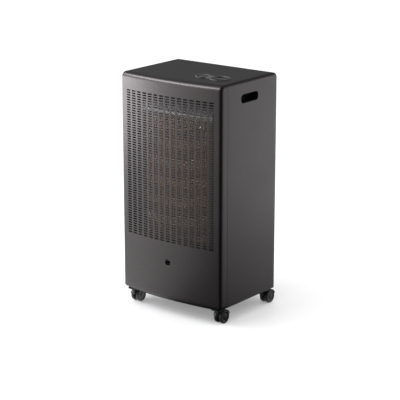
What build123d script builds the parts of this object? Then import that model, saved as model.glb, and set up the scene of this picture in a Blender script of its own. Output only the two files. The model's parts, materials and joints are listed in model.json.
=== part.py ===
from build123d import *
import os
from math import sqrt

os.makedirs("parts", exist_ok=True)

# Portable gas cabinet heater: a painted sheet cabinet on four casters, with a bowed and slotted
# front, a catalytic burner behind it, and a bay for a gas bottle under a bulged rear cover.
# Origin on the floor under the middle of the overall box, +Z up, front towards -Y.

# ---------------------------------------------------------------- driving dimensions (mm)
# Cabinet envelope
body_width = 390.0
body_depth = 287.0            # vertical front edges to the rear plane
body_height = 700.0           # underside of the sides to the flat top
floor_gap = 55.0              # floor to the underside of the sides
front_bow = 16.0              # how far the front stands out of its vertical edges
sheet = 1.2
top_front_roll = 16.0
top_rear_roll = 16.0
bottom_front_roll = 8.0
edge_round = 8.5
fit_gap = 0.3                 # between pieces that seat on each other

# Seam between front cover and cabinet, seen from the side
seam_depth = 32.0             # behind the vertical front edges
seam_top_depth = 16.0         # where the seam crosses the top
seam_sweep = 34.0             # height over which it curves forward
seam_gap = 1.2
lap_width = 12.0
lap_floor_gap = 12.0          # the lap strip stops this far above the underside

# Front openings
slot_columns = 15
slot_rows = 30
slot_column_pitch = 23.0
slot_row_pitch = 15.46
slot_length = 17.0
slot_height = 7.5
grille_height = 418.0         # middle of the grille above the underside of the sides
sight_hole_radius = 9.5
sight_hole_height = 120.0
sight_collar_wall = 1.2
sight_collar_depth = 5.0

# Hand holes in the sides
hand_hole_length = 87.0
hand_hole_height = 28.0
hand_hole_round = 11.0
hand_hole_setback = 141.0
hand_hole_drop = 55.0
grip_depth = 30.0
grip_wall = 2.0
grip_flange = 9.0

# Rear opening and cover
rear_return = 25.0
rear_rail_height = 62.0
bottle_radius = 150.0
bottle_clearance = 10.0
bottle_setback = 72.0         # bottle centre in front of the rear plane
cover_sheet = 1.0
cover_margin = 11.0
cover_floor_gap = 4.0
cover_bulge_margin = 26.0     # flat band of the cover above its bulge
cover_cap_run = 62.0          # height over which the bulge slopes out
hinge_drop = 40.0             # cover hinge line below the top
hinge_clear = 4.0             # cover edge below the hinge line
hook_spacing = 230.0
hook_width = 26.0
hook_reach = 5.0
hook_toe = 6.0
hook_slot_height = 9.0
vent_columns = 3
vent_rows = 5
vent_column_pitch = 66.0
vent_row_pitch = 14.0
vent_length = 52.0
vent_height = 5.0
vent_end_drop = 134.0         # middle of each vent group from the cover's end

# Base tray
base_inset = 9.0
tray_drop = 6.0               # how far the tray shows under the sides
tray_height = 26.0
tray_sheet = 1.5
tray_round = 4.0
tray_rear_lip = 9.0
tongue_gap = 4.0              # between the tray's tongue and the bulge round it
stand_radius = 118.0          # raised round that the bottle's foot ring stands on
stand_rise = 1.5

# Heat shield between burner and bottle bay
shield_setback = 62.0
shield_sheet = 1.0
shield_flange = 15.0
shield_top_drop = 28.0

# Burner
burner_margin = 57.0          # between the burner and the outside of the sides
burner_height = 414.0
burner_base = 178.0           # above the underside of the sides
burner_setback = 30.0         # face of the burner frame behind the vertical front edges
burner_depth = 24.0
burner_sheet = 1.0
frame_lip = 13.0
frame_skirt = 14.0
mesh_thickness = 1.6
mesh_bar = 2.0
mesh_columns = 8
mesh_rows = 11
pad_thickness = 12.0
diffuser_rows = 5
diffuser_columns = 3
diffuser_slot = 60.0
diffuser_slot_width = 6.0
bracket_length = 220.0
bracket_height = 24.0
bracket_inset = 70.0
injector_radius = 8.0
injector_length = 6.0
deflector_gap = 2.0           # between the burner frame and the deflector above it
deflector_rise = 22.0
deflector_lip = 3.0
deflector_flange = 18.0
deflector_sheet = 0.8

# Controls on the top
control_setback = 92.0
knob_inset = 77.0             # knob's axis in from the right side
knob_radius = 27.0
knob_height = 13.0
knob_proud = 1.5
knob_travel = 4.0
knob_clearance = 1.0
grip_bar_width = 9.0
grip_bar_angle = 10.0
knob_wall = 2.5
crescent_depth = 9.0
button_spacing = 65.0         # between the axes of button and knob
button_radius = 12.0
button_height = 8.0
button_edge = 1.2
button_proud = 1.0
button_travel = 5.0
button_clearance = 5.0
button_stem_radius = 5.0
travel_spare = 0.5
bezel_knob_radius = 33.0
bezel_button_radius = 24.0
bezel_waist = 28.0
bezel_waist_round = 8.0
bezel_plate = 1.2
bezel_rim = 2.4
bezel_rim_width = 2.5
bezel_flange = 5.0            # under the top sheet, all round
bezel_wall = 1.5
running_fit = 0.06

# Gas valve and igniter under the top
valve_drop = 34.0
valve_width = 44.0
valve_depth = 34.0
valve_height = 44.0
valve_round = 5.0
neck_radius = 11.0
spindle_radius = 4.0
spindle_engage = 8.0          # spindle length inside the knob
spindle_depth = 18.0          # spindle length inside the valve block
push_rod_radius = 2.5
push_rod_length = 16.0
nozzle_radius = 4.5
nozzle_plain = 7.0            # plain stretch between hexagon and barbs
nozzle_hex = 14.0
nozzle_hex_length = 10.0
nozzle_bore = 2.5
barb_depth = 0.8
barb_pitch = 6.0
barb_count = 3
valve_bracket_sheet = 1.5
valve_bracket_depth = 40.0
valve_bracket_margin = 3.0    # from the bezel's flange
valve_bracket_foot = 12.0
piezo_radius = 10.0
piezo_length = 66.0
piezo_nut_radius = 14.0
piezo_nut_height = 4.0
piezo_terminal_radius = 2.0
piezo_terminal_length = 6.0

# Gas pipes and pilot
burner_pipe_radius = 4.0
burner_pipe_bend = 14.0
pilot_pipe_radius = 2.0
pilot_pipe_bend = 8.0
pilot_pipe_offset = 14.0
pipe_hole_clearance = 2.0
pilot_setback = 14.0
pilot_height = 151.0          # top of the pilot bracket above the underside of the sides
pilot_sheet = 1.2
pilot_bracket_width = 60.0
pilot_bracket_flange = 15.0
pilot_spacing = 17.0
pilot_radius = 4.5
pilot_length = 20.0
collar_height = 3.0
collar_width = 2.5
stem_below = 4.0
thermocouple_radius = 2.5
thermocouple_length = 27.0
electrode_radius = 3.5
electrode_length = 15.0
spark_wire_radius = 1.0
spark_wire_length = 9.0

# Casters
caster_inset_x = 27.0         # swivel axis in from the sides
caster_inset_y = 22.0         # swivel axis in from the front edges and the rear plane
caster_trail = 18.0
wheel_radius = 21.0
wheel_width = 10.0
wheel_gap = 10.0              # between the two wheels of a caster
wheel_round = 2.0
wheel_dish = 2.5
wheel_rim = 5.0
wheel_hub_radius = 6.0
hood_clearance = 1.2
hood_wall = 1.6
hood_from = 15.0              # hood arc in degrees from the level line behind the wheel
hood_to = 165.0
web_clearance = 0.4
caster_hub_radius = 9.0
caster_plate = 2.5
caster_plate_size = 34.0
caster_plate_round = 5.0
caster_boss_radius = 7.0
pin_radius = 3.5
pin_length = 19.5
axle_radius = 2.5

# ---------------------------------------------------------------- derived places
half_width = body_width / 2
cover_reach = bottle_radius + bottle_clearance + cover_sheet - bottle_setback
front_y = front_bow - (front_bow + body_depth + cover_reach) / 2
rear_y = front_y + body_depth
top_z = floor_gap + body_height
tray_z = floor_gap - tray_drop
tray_floor_z = tray_z + tray_sheet
hem = base_inset - fit_gap
bow_radius = (half_width**2 + front_bow**2) / (2 * front_bow)
bow_centre_y = front_y - front_bow + bow_radius
bottle_y = rear_y - bottle_setback
hinge_y = rear_y - sheet
hinge_z = top_z - hinge_drop
control_y = front_y + control_setback
knob_x = half_width - knob_inset
button_x = knob_x - button_spacing
shield_y = front_y + shield_setback
burner_y = front_y + burner_setback
burner_width = body_width - 2 * burner_margin
burner_z = floor_gap + burner_base
burner_middle_z = burner_z + burner_height / 2
valve_top_z = top_z - valve_drop
valve_z = valve_top_z - valve_height
knob_z = top_z + knob_proud - knob_height
knob_well_z = knob_z - knob_travel - travel_spare
button_z = top_z + button_proud - button_height
button_well_z = button_z - button_travel - travel_spare
pilot_y = front_y + pilot_setback
pilot_z = floor_gap + pilot_height
far = 2 * body_height


# ---------------------------------------------------------------- shared forms
def plan_outline(inset):
    """Plan of the cabinet drawn in by inset: bowed front, straight sides and rear."""
    half = half_width - inset
    radius = bow_radius - inset
    corner_y = bow_centre_y - sqrt(radius**2 - half**2)
    with BuildSketch() as outline:
        with BuildLine():
            ThreePointArc((-half, corner_y), (0, bow_centre_y - radius), (half, corner_y))
            Polyline((half, corner_y), (half, rear_y - inset), (-half, rear_y - inset), (-half, corner_y))
        make_face()
    return outline.sketch


def envelope(inset, rolled_bottom):
    """Closed cabinet form drawn in by inset, with all its rolls and rounded edges."""
    with BuildPart() as form:
        with BuildSketch(Plane.XY.offset(floor_gap + inset)):
            add(plan_outline(inset))
        extrude(amount=body_height - 2 * inset)
        top = form.faces().sort_by(Axis.Z)[-1]
        fillet(top.edges().sort_by(Axis.Y)[0], radius=top_front_roll - inset)
        top = form.faces().sort_by(Axis.Z)[-1]
        fillet(top.edges().sort_by(Axis.Y)[-1], radius=top_rear_roll - inset)
        for side in (0, -1):
            outline = form.faces().sort_by(Axis.X)[side].edges().sort_by(Axis.Z)[1:]
            fillet(outline, radius=edge_round - inset)
        if rolled_bottom:
            bottom = form.faces().sort_by(Axis.Z)[0]
            fillet(bottom.edges(), radius=bottom_front_roll - inset)
    return form.part


def seam_curve(shift):
    """Seam line in the Y-Z plane, moved back by shift: upright, then curving forward to the top."""
    low = Line((front_y + seam_depth + shift, 0), (front_y + seam_depth + shift, top_z - seam_sweep))
    bend = TangentArc(low @ 1, (front_y + seam_top_depth + shift, top_z), tangent=low % 1)
    tail = Line(bend @ 1, bend @ 1 + (bend % 1) * seam_sweep)
    return low @ 0, tail @ 1


def seam_band(start, stop):
    """Space between the seam moved back by start and by stop, right across the cabinet."""
    with BuildPart() as band:
        with BuildSketch(Plane.YZ):
            with BuildLine():
                start_low, start_high = seam_curve(start)
                stop_low, stop_high = seam_curve(stop)
                Line(start_low, stop_low)
                Line(start_high, stop_high)
            make_face()
        extrude(amount=body_width, both=True)
    return band.part


def sheet_form(outer_inset, inner_inset, rolled_bottom):
    """Sheet between two drawn-in envelopes, open underneath inside the hem."""
    with BuildPart() as form:
        add(envelope(outer_inset, rolled_bottom))
        add(envelope(inner_inset, rolled_bottom), mode=Mode.SUBTRACT)
        with BuildSketch(Plane.XY.offset(floor_gap)):
            add(plan_outline(hem))
        extrude(amount=inner_inset, mode=Mode.SUBTRACT)
    return form.part


def lap_strip():
    """Strip joggled inwards behind the seam, on which the front cover's returns lie."""
    outer = sheet + fit_gap
    root = seam_gap / 2 + sheet
    with BuildPart() as strip:
        add(sheet_form(outer, outer + sheet, True))
        add(seam_band(-lap_width, lap_width), mode=Mode.INTERSECT)
        add(joggle(root, outer + sheet))
        with BuildSketch(Plane.XY):
            Rectangle(2 * body_width, 2 * body_depth)
        extrude(amount=floor_gap + lap_floor_gap, mode=Mode.SUBTRACT)
    return strip.part


def joggle(start, depth):
    """Root of the lap strip, against the inner face of the cabinet."""
    with BuildPart() as root:
        add(sheet_form(sheet, depth, False))
        add(seam_band(start, lap_width), mode=Mode.INTERSECT)
    return root.part


def cover_bulge(inset):
    """Bulge of the rear cover: an upright part cylinder, open underneath, with a sloping top."""
    low = floor_gap + cover_floor_gap - inset
    high = hinge_z - hinge_clear - cover_bulge_margin
    slope_length = sqrt(cover_cap_run**2 + cover_reach**2)
    end_shift = inset * slope_length / cover_reach
    plane_y = rear_y - inset
    reach_y = rear_y + cover_reach
    with BuildPart() as bulge:
        with BuildSketch(Plane.XY.offset(low)):
            with Locations((0, bottle_y)):
                Circle(bottle_radius + bottle_clearance + cover_sheet - inset)
        extrude(amount=high - low)
        with BuildSketch(Plane.YZ):
            with BuildLine():
                Polyline(
                    (plane_y, low), (reach_y, low), (reach_y, high - end_shift - cover_cap_run),
                    (plane_y, high - end_shift), close=True)
            make_face()
        extrude(amount=body_width, both=True, mode=Mode.INTERSECT)
    return bulge.part


def bezel_plan(growth):
    """Plan of the control bezel grown by growth: two rounds joined by a waist with soft corners."""
    with BuildSketch() as plan:
        with Locations(((knob_x + button_x) / 2, control_y)):
            Rectangle(knob_x - button_x, bezel_waist)
        with Locations((knob_x, control_y)):
            Circle(bezel_knob_radius)
        with Locations((button_x, control_y)):
            Circle(bezel_button_radius)
        corners = plan.vertices().filter_by_position(Axis.X, button_x, knob_x).group_by(Axis.X)[0:2]
        fillet([corner for pair in corners for corner in pair], radius=bezel_waist_round)
        offset(amount=growth)
    return plan.sketch


def collared_stem(x, radius, length, below):
    """Round stem standing through the pilot bracket, with a collar on the bracket."""
    with BuildPart() as stem:
        with BuildSketch(Plane(origin=(x, pilot_y, pilot_z - pilot_sheet - below))):
            Circle(radius)
        extrude(amount=length + below + pilot_sheet)
        with BuildSketch(Plane(origin=(x, pilot_y, pilot_z))):
            Circle(radius + collar_width)
        extrude(amount=collar_height)
    return stem.part


def pipe(route_points, bend, radius):
    """Round pipe along straight runs joined by tangent bends."""
    with BuildPart() as tube:
        with BuildLine() as route:
            FilletPolyline(*route_points, radius=bend)
        with BuildSketch(Plane(origin=route_points[0], z_dir=route.line % 0)):
            Circle(radius)
        sweep()
    return tube.part


# ---------------------------------------------------------------- cabinet sheet work
hand_hole_y = front_y + hand_hole_setback
hand_hole_z = top_z - hand_hole_drop
knob_well_radius = knob_radius + knob_clearance
button_well_radius = button_radius + button_clearance

with BuildPart() as cabinet_shell:
    add(sheet_form(0, sheet, False))
    add(seam_band(-far, seam_gap / 2), mode=Mode.SUBTRACT)
    add(lap_strip())
    with BuildSketch(Plane.XZ.offset(-rear_y)):
        with BuildLine():
            Polyline(
                (-half_width + rear_return, 0), (half_width - rear_return, 0),
                (half_width - rear_return, top_z - rear_rail_height),
                (-half_width + rear_return, top_z - rear_rail_height), close=True)
        make_face()
    extrude(amount=hem + sheet, mode=Mode.SUBTRACT)
    with BuildSketch(Plane.YZ):
        with Locations((hand_hole_y, hand_hole_z)):
            RectangleRounded(hand_hole_length, hand_hole_height, hand_hole_round)
    extrude(amount=body_width, both=True, mode=Mode.SUBTRACT)
    with BuildSketch(Plane.XY.offset(top_z)):
        add(bezel_plan(fit_gap))
    extrude(amount=-top_front_roll, mode=Mode.SUBTRACT)
    with BuildSketch(Plane.XZ.offset(-rear_y)):
        with Locations((0, hinge_z - fit_gap + hook_slot_height / 2)):
            with GridLocations(hook_spacing, 0, 2, 1):
                Rectangle(hook_width + 2 * fit_gap, hook_slot_height)
    extrude(amount=sheet, mode=Mode.SUBTRACT)

cabinet_shell.part.label = "cabinet_shell"
export_step(cabinet_shell.part, "parts/cabinet_shell.step")

sight_z = floor_gap + sight_hole_height
sight_y = front_y - front_bow
with BuildPart() as front_cover:
    add(sheet_form(0, sheet, True))
    add(seam_band(-far, -seam_gap / 2), mode=Mode.INTERSECT)
    with BuildSketch(Plane.XZ.offset(-sight_y - sheet)):
        with Locations((0, sight_z)):
            Circle(sight_hole_radius + sight_collar_wall)
    extrude(amount=-sight_collar_depth)
    with BuildSketch(Plane.XZ.offset(-sight_y)):
        with Locations((0, sight_z)):
            Circle(sight_hole_radius)
    extrude(amount=-sight_collar_depth - 2 * sheet, mode=Mode.SUBTRACT)
    with BuildSketch(Plane.XZ.offset(-sight_y)):
        with Locations((0, floor_gap + grille_height)):
            with GridLocations(slot_column_pitch, slot_row_pitch, slot_columns, slot_rows):
                Rectangle(slot_length, slot_height)
    extrude(amount=-front_bow - 2 * sheet, mode=Mode.SUBTRACT)

front_cover.part.label = "front_cover"
export_step(front_cover.part, "parts/front_cover.step")

# Base tray: a round tongue carries the back of the bottle inside the bulge of the rear cover
tray_lip_y = rear_y - base_inset - tray_sheet - tray_round
with BuildPart() as base_tray:
    with BuildSketch(Plane.XY.offset(tray_z)):
        add(plan_outline(base_inset))
        with Locations((0, bottle_y)):
            Circle(bottle_radius + bottle_clearance - tongue_gap)
    extrude(amount=tray_height)
    fillet(base_tray.edges().filter_by(Axis.Z), radius=tray_round)
    offset(amount=-tray_sheet, openings=base_tray.faces().sort_by(Axis.Z)[-1])
    with BuildSketch(Plane.XY.offset(tray_floor_z + tray_rear_lip)):
        with Locations((0, tray_lip_y + body_depth / 2)):
            Rectangle(body_width - 2 * rear_return, body_depth)
    extrude(amount=tray_height, mode=Mode.SUBTRACT)
    with BuildSketch(Plane.XY.offset(tray_floor_z)):
        with Locations((0, bottle_y)):
            Circle(stand_radius)
    extrude(amount=stand_rise)
    with BuildSketch(Plane.XY.offset(tray_z)):
        with Locations((0, bottle_y)):
            Circle(stand_radius - tray_sheet)
    extrude(amount=stand_rise, mode=Mode.SUBTRACT)

base_tray.part.label = "base_tray"
export_step(base_tray.part, "parts/base_tray.step")

# Pocket behind each hand hole: a moulded cup with a flange against the inside of the side
for side_name, side in (("left", -1), ("right", 1)):
    inner_face = Plane(
        origin=(side * (half_width - sheet), hand_hole_y, hand_hole_z),
        x_dir=(0, 1, 0), z_dir=(-side, 0, 0))
    with BuildPart() as hand_grip:
        with BuildSketch(inner_face):
            RectangleRounded(
                hand_hole_length + 2 * grip_flange, hand_hole_height + 2 * grip_flange,
                hand_hole_round + grip_flange)
        extrude(amount=grip_wall)
        with BuildSketch(inner_face):
            RectangleRounded(
                hand_hole_length + 2 * grip_wall, hand_hole_height + 2 * grip_wall,
                hand_hole_round + grip_wall)
        extrude(amount=grip_depth)
        with BuildSketch(inner_face):
            RectangleRounded(hand_hole_length, hand_hole_height, hand_hole_round)
        extrude(amount=grip_depth - grip_wall, mode=Mode.SUBTRACT)
    hand_grip.part.label = f"hand_grip_{side_name}"
    export_step(hand_grip.part, f"parts/hand_grip_{side_name}.step")

# ---------------------------------------------------------------- rear cover
cover_low_z = floor_gap + cover_floor_gap
cover_high_z = hinge_z - hinge_clear
cover_inner_y = rear_y + fit_gap
cover_outer_y = cover_inner_y + cover_sheet
cover_middle_z = (cover_low_z + cover_high_z) / 2
vent_offset = (cover_high_z - cover_low_z) / 2 - vent_end_drop

with BuildPart() as rear_cover:
    with BuildSketch(Plane.XZ.offset(-cover_outer_y)):
        with Locations((0, cover_middle_z)):
            Rectangle(body_width - 2 * cover_margin, cover_high_z - cover_low_z)
        with Locations((0, hinge_z + cover_sheet / 2 - (hinge_clear + cover_sheet) / 2)):
            with GridLocations(hook_spacing, 0, 2, 1):
                Rectangle(hook_width, hinge_clear + cover_sheet)
    extrude(amount=cover_sheet)
    add(cover_bulge(0))
    add(cover_bulge(cover_sheet), mode=Mode.SUBTRACT)
    with BuildSketch(Plane.XY):
        with Locations((0, cover_inner_y - body_depth / 2)):
            Rectangle(2 * body_width, body_depth)
    extrude(amount=far, mode=Mode.SUBTRACT)
    with BuildSketch(Plane.XZ.offset(-rear_y - cover_reach)):
        for group in (-1, 1):
            with Locations((0, cover_middle_z + group * vent_offset)):
                with GridLocations(vent_column_pitch, vent_row_pitch, vent_columns, vent_rows):
                    Rectangle(vent_length, vent_height)
    extrude(amount=cover_reach, mode=Mode.SUBTRACT)
    # Hooks: tongues through the rail's slots, with turned-up toes behind the rail
    with BuildSketch(Plane.XY.offset(hinge_z)):
        with Locations((0, (cover_outer_y + hinge_y - hook_reach) / 2)):
            with GridLocations(hook_spacing, 0, 2, 1):
                Rectangle(hook_width, cover_outer_y - hinge_y + hook_reach)
    extrude(amount=cover_sheet)
    with BuildSketch(Plane.XY.offset(hinge_z)):
        with Locations((0, hinge_y - hook_reach + cover_sheet / 2)):
            with GridLocations(hook_spacing, 0, 2, 1):
                Rectangle(hook_width, cover_sheet)
    extrude(amount=hook_toe)

rear_cover.part.label = "rear_cover"
export_step(rear_cover.part, "parts/rear_cover.step")

# ---------------------------------------------------------------- heat shield
shield_half = half_width - base_inset - tray_sheet - fit_gap
shield_wide = half_width - sheet - fit_gap
shield_step_z = tray_z + tray_height + fit_gap
shield_top_z = top_z - shield_top_drop
pilot_pipe_x = knob_x + pilot_pipe_offset
pilot_pipe_z = pilot_z - pilot_sheet - stem_below - pilot_pipe_bend - pilot_pipe_radius

with BuildPart() as heat_shield:
    with BuildSketch(Plane.XZ.offset(-shield_y)):
        with BuildLine():
            Polyline(
                (-shield_half, tray_floor_z), (shield_half, tray_floor_z), (shield_half, shield_step_z),
                (shield_wide, shield_step_z), (shield_wide, shield_top_z), (-shield_wide, shield_top_z),
                (-shield_wide, shield_step_z), (-shield_half, shield_step_z), close=True)
        make_face()
    extrude(amount=-shield_sheet)
    for side in (-1, 1):
        with BuildSketch(Plane.XY.offset(shield_step_z)):
            with Locations((side * (shield_wide - shield_sheet / 2), shield_y + shield_flange / 2)):
                Rectangle(shield_sheet, shield_flange)
        extrude(amount=shield_top_z - shield_step_z)
    with BuildSketch(Plane.XZ.offset(-shield_y)):
        with Locations((knob_x, burner_middle_z)):
            Circle(burner_pipe_radius + pipe_hole_clearance)
        with Locations((pilot_pipe_x, pilot_pipe_z)):
            Circle(pilot_pipe_radius + pipe_hole_clearance)
    extrude(amount=-shield_sheet, mode=Mode.SUBTRACT)

heat_shield.part.label = "heat_shield"
export_step(heat_shield.part, "parts/heat_shield.step")

# ---------------------------------------------------------------- burner
frame_outer_width = burner_width + 2 * (burner_sheet + fit_gap)
frame_outer_height = burner_height + 2 * (burner_sheet + fit_gap)
mesh_y = burner_y + burner_sheet
pan_y = mesh_y + mesh_thickness
pan_back_y = burner_y + burner_depth
pad_y = pan_y + fit_gap
diffuser_y = pad_y + pad_thickness
pad_width = burner_width - 2 * (burner_sheet + fit_gap)
pad_height = burner_height - 2 * (burner_sheet + fit_gap)

with BuildPart() as burner_frame:
    with BuildSketch(Plane.XZ.offset(-burner_y)):
        with Locations((0, burner_middle_z)):
            Rectangle(frame_outer_width, frame_outer_height)
    extrude(amount=-frame_skirt)
    with BuildSketch(Plane.XZ.offset(-mesh_y)):
        with Locations((0, burner_middle_z)):
            Rectangle(frame_outer_width - 2 * burner_sheet, frame_outer_height - 2 * burner_sheet)
    extrude(amount=-frame_skirt, mode=Mode.SUBTRACT)
    with BuildSketch(Plane.XZ.offset(-burner_y)):
        with Locations((0, burner_middle_z)):
            Rectangle(burner_width - 2 * frame_lip, burner_height - 2 * frame_lip)
    extrude(amount=-burner_sheet, mode=Mode.SUBTRACT)

burner_frame.part.label = "burner_frame"
export_step(burner_frame.part, "parts/burner_frame.step")

mesh_pitch_x = (burner_width - mesh_bar) / mesh_columns
mesh_pitch_z = (burner_height - mesh_bar) / mesh_rows
with BuildPart() as guard_mesh:
    with BuildSketch(Plane.XZ.offset(-mesh_y)):
        with Locations((0, burner_middle_z)):
            Rectangle(burner_width, burner_height)
            with GridLocations(mesh_pitch_x, mesh_pitch_z, mesh_columns, mesh_rows):
                Rectangle(mesh_pitch_x - mesh_bar, mesh_pitch_z - mesh_bar, mode=Mode.SUBTRACT)
    extrude(amount=-mesh_thickness)

guard_mesh.part.label = "guard_mesh"
export_step(guard_mesh.part, "parts/guard_mesh.step")

with BuildPart() as burner_pan:
    with BuildSketch(Plane.XZ.offset(-pan_y)):
        with Locations((0, burner_middle_z)):
            Rectangle(burner_width, burner_height)
    extrude(amount=pan_y - pan_back_y)
    offset(amount=-burner_sheet, openings=burner_pan.faces().sort_by(Axis.Y)[0])

burner_pan.part.label = "burner_pan"
export_step(burner_pan.part, "parts/burner_pan.step")

with BuildPart() as catalytic_pad:
    with BuildSketch(Plane.XZ.offset(-pad_y)):
        with Locations((0, burner_middle_z)):
            Rectangle(pad_width, pad_height)
    extrude(amount=-pad_thickness)

catalytic_pad.part.label = "catalytic_pad"
export_step(catalytic_pad.part, "parts/catalytic_pad.step")

with BuildPart() as gas_diffuser:
    with BuildSketch(Plane.XZ.offset(-diffuser_y)):
        with Locations((0, burner_middle_z)):
            Rectangle(pad_width, pad_height)
    extrude(amount=diffuser_y - pan_back_y + burner_sheet)
    offset(amount=-burner_sheet, openings=gas_diffuser.faces().sort_by(Axis.Y)[-1])
    with BuildSketch(Plane.XZ.offset(-diffuser_y)):
        with Locations((0, burner_middle_z)):
            with GridLocations(
                    pad_width / diffuser_columns, pad_height / diffuser_rows,
                    diffuser_columns, diffuser_rows):
                Rectangle(diffuser_slot, diffuser_slot_width)
    extrude(amount=-burner_sheet, mode=Mode.SUBTRACT)

gas_diffuser.part.label = "gas_diffuser"
export_step(gas_diffuser.part, "parts/gas_diffuser.step")

# Channels that carry the burner on the heat shield
for place, height in (("lower", burner_z + bracket_inset),
                      ("upper", burner_z + burner_height - bracket_inset)):
    with BuildPart() as burner_bracket:
        with BuildSketch(Plane(origin=(-bracket_length / 2, pan_back_y, height), x_dir=(0, 1, 0),
                               z_dir=(1, 0, 0))):
            with Locations(((shield_y - pan_back_y) / 2, 0)):
                Rectangle(shield_y - pan_back_y, bracket_height)
                with Locations((shield_sheet, 0)):
                    Rectangle(shield_y - pan_back_y, bracket_height - 2 * shield_sheet, mode=Mode.SUBTRACT)
        extrude(amount=bracket_length)
    burner_bracket.part.label = f"burner_bracket_{place}"
    export_step(burner_bracket.part, f"parts/burner_bracket_{place}.step")

with BuildPart() as burner_injector:
    with BuildSketch(Plane.XZ.offset(-pan_back_y)):
        with Locations((knob_x, burner_middle_z)):
            RegularPolygon(injector_radius, 6)
    extrude(amount=-injector_length)

burner_injector.part.label = "burner_injector"
export_step(burner_injector.part, "parts/burner_injector.step")

# Deflector over the burner: front lip, plate sloping up to the heat shield, flange down its face
deflector_z = burner_middle_z + frame_outer_height / 2 + deflector_gap
deflector_top_z = deflector_z + deflector_rise
with BuildPart() as heat_deflector:
    with BuildSketch(Plane.YZ.offset(-frame_outer_width / 2)):
        with BuildLine():
            skin = Polyline(
                (burner_y, deflector_z + deflector_lip), (burner_y, deflector_z),
                (shield_y - deflector_sheet, deflector_top_z),
                (shield_y - deflector_sheet, deflector_top_z - deflector_flange))
            offset(amount=deflector_sheet, side=Side.LEFT)
        make_face()
    extrude(amount=frame_outer_width)

heat_deflector.part.label = "heat_deflector"
export_step(heat_deflector.part, "parts/heat_deflector.step")

# ---------------------------------------------------------------- control bezel, knob and button
# The bezel stands up through the top from below, on a flange under the sheet
flange_top_z = top_z - sheet - fit_gap
with BuildPart() as control_bezel:
    with BuildSketch(Plane.XY.offset(flange_top_z - bezel_plate)):
        add(bezel_plan(bezel_flange))
    extrude(amount=bezel_plate)
    with BuildSketch(Plane.XY.offset(flange_top_z)):
        add(bezel_plan(0))
    extrude(amount=top_z + bezel_rim - flange_top_z)
    with BuildSketch(Plane.XY.offset(top_z + bezel_plate)):
        add(bezel_plan(-bezel_rim_width))
    extrude(amount=bezel_rim, mode=Mode.SUBTRACT)
    for well_x, well_radius, well_z, stem_radius in (
            (knob_x, knob_well_radius, knob_well_z, spindle_radius),
            (button_x, button_well_radius, button_well_z, button_stem_radius)):
        with BuildSketch(Plane.XY.offset(well_z - bezel_wall)):
            with Locations((well_x, control_y)):
                Circle(well_radius + bezel_wall)
        extrude(amount=top_z + bezel_plate - well_z + bezel_wall)
        with BuildSketch(Plane.XY.offset(well_z)):
            with Locations((well_x, control_y)):
                Circle(well_radius)
        extrude(amount=far, mode=Mode.SUBTRACT)
        with BuildSketch(Plane.XY.offset(well_z)):
            with Locations((well_x, control_y)):
                Circle(stem_radius + fit_gap)
        extrude(amount=-bezel_wall, mode=Mode.SUBTRACT)

control_bezel.part.label = "control_bezel"
export_step(control_bezel.part, "parts/control_bezel.step")

knob_top_z = knob_z + knob_height
with BuildPart() as control_knob:
    with BuildSketch(Plane(origin=(knob_x, control_y, knob_z))):
        Circle(knob_radius)
    extrude(amount=knob_height)
    with BuildSketch(Plane(origin=(knob_x, control_y, knob_top_z))):
        Circle(knob_radius - knob_wall)
        Rectangle(2 * knob_radius, grip_bar_width, rotation=grip_bar_angle, mode=Mode.SUBTRACT)
    extrude(amount=-crescent_depth, mode=Mode.SUBTRACT)
    with BuildSketch(Plane(origin=(knob_x, control_y, knob_z))):
        Circle(spindle_radius + running_fit)
    extrude(amount=spindle_engage, mode=Mode.SUBTRACT)

control_knob.part.label = "control_knob"
export_step(control_knob.part, "parts/control_knob.step")

spindle_z = valve_top_z - spindle_depth
with BuildPart() as valve_spindle:
    with BuildSketch(Plane(origin=(knob_x, control_y, spindle_z))):
        Circle(spindle_radius)
    extrude(amount=knob_z + spindle_engage - spindle_z)

valve_spindle.part.label = "valve_spindle"
export_step(valve_spindle.part, "parts/valve_spindle.step")

button_stem_z = button_well_z - bezel_wall - 2 * button_travel
with BuildPart() as igniter_button:
    with BuildSketch(Plane(origin=(button_x, control_y, button_z))):
        Circle(button_radius)
    extrude(amount=button_height)
    chamfer(igniter_button.edges().sort_by(Axis.Z)[-1], length=button_edge)
    with BuildSketch(Plane(origin=(button_x, control_y, button_stem_z))):
        Circle(button_stem_radius)
    extrude(amount=button_z - button_stem_z)

igniter_button.part.label = "igniter_button"
export_step(igniter_button.part, "parts/igniter_button.step")

# ---------------------------------------------------------------- gas valve, igniter and bracket
rod_top_z = spindle_z - fit_gap
spindle_bore_z = spindle_z - knob_travel - travel_spare
rod_bore_z = rod_top_z - push_rod_length - knob_travel - travel_spare
neck_top_z = knob_well_z - bezel_wall - travel_spare

with BuildPart() as gas_valve:
    with BuildSketch(Plane(origin=(knob_x, control_y, valve_z))):
        RectangleRounded(valve_width, valve_depth, valve_round)
    extrude(amount=valve_height)
    with BuildSketch(Plane(origin=(knob_x, control_y, valve_top_z))):
        Circle(neck_radius)
    extrude(amount=neck_top_z - valve_top_z)
    with BuildSketch(Plane(origin=(knob_x, control_y, spindle_bore_z))):
        Circle(spindle_radius + running_fit)
    extrude(amount=neck_top_z - spindle_bore_z, mode=Mode.SUBTRACT)
    with BuildSketch(Plane(origin=(knob_x, control_y, rod_bore_z))):
        Circle(push_rod_radius + running_fit)
    extrude(amount=spindle_bore_z - rod_bore_z, mode=Mode.SUBTRACT)

gas_valve.part.label = "gas_valve"
export_step(gas_valve.part, "parts/gas_valve.step")

with BuildPart() as valve_push_rod:
    with BuildSketch(Plane(origin=(knob_x, control_y, rod_top_z))):
        Circle(push_rod_radius)
    extrude(amount=-push_rod_length)

valve_push_rod.part.label = "valve_push_rod"
export_step(valve_push_rod.part, "parts/valve_push_rod.step")

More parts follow.
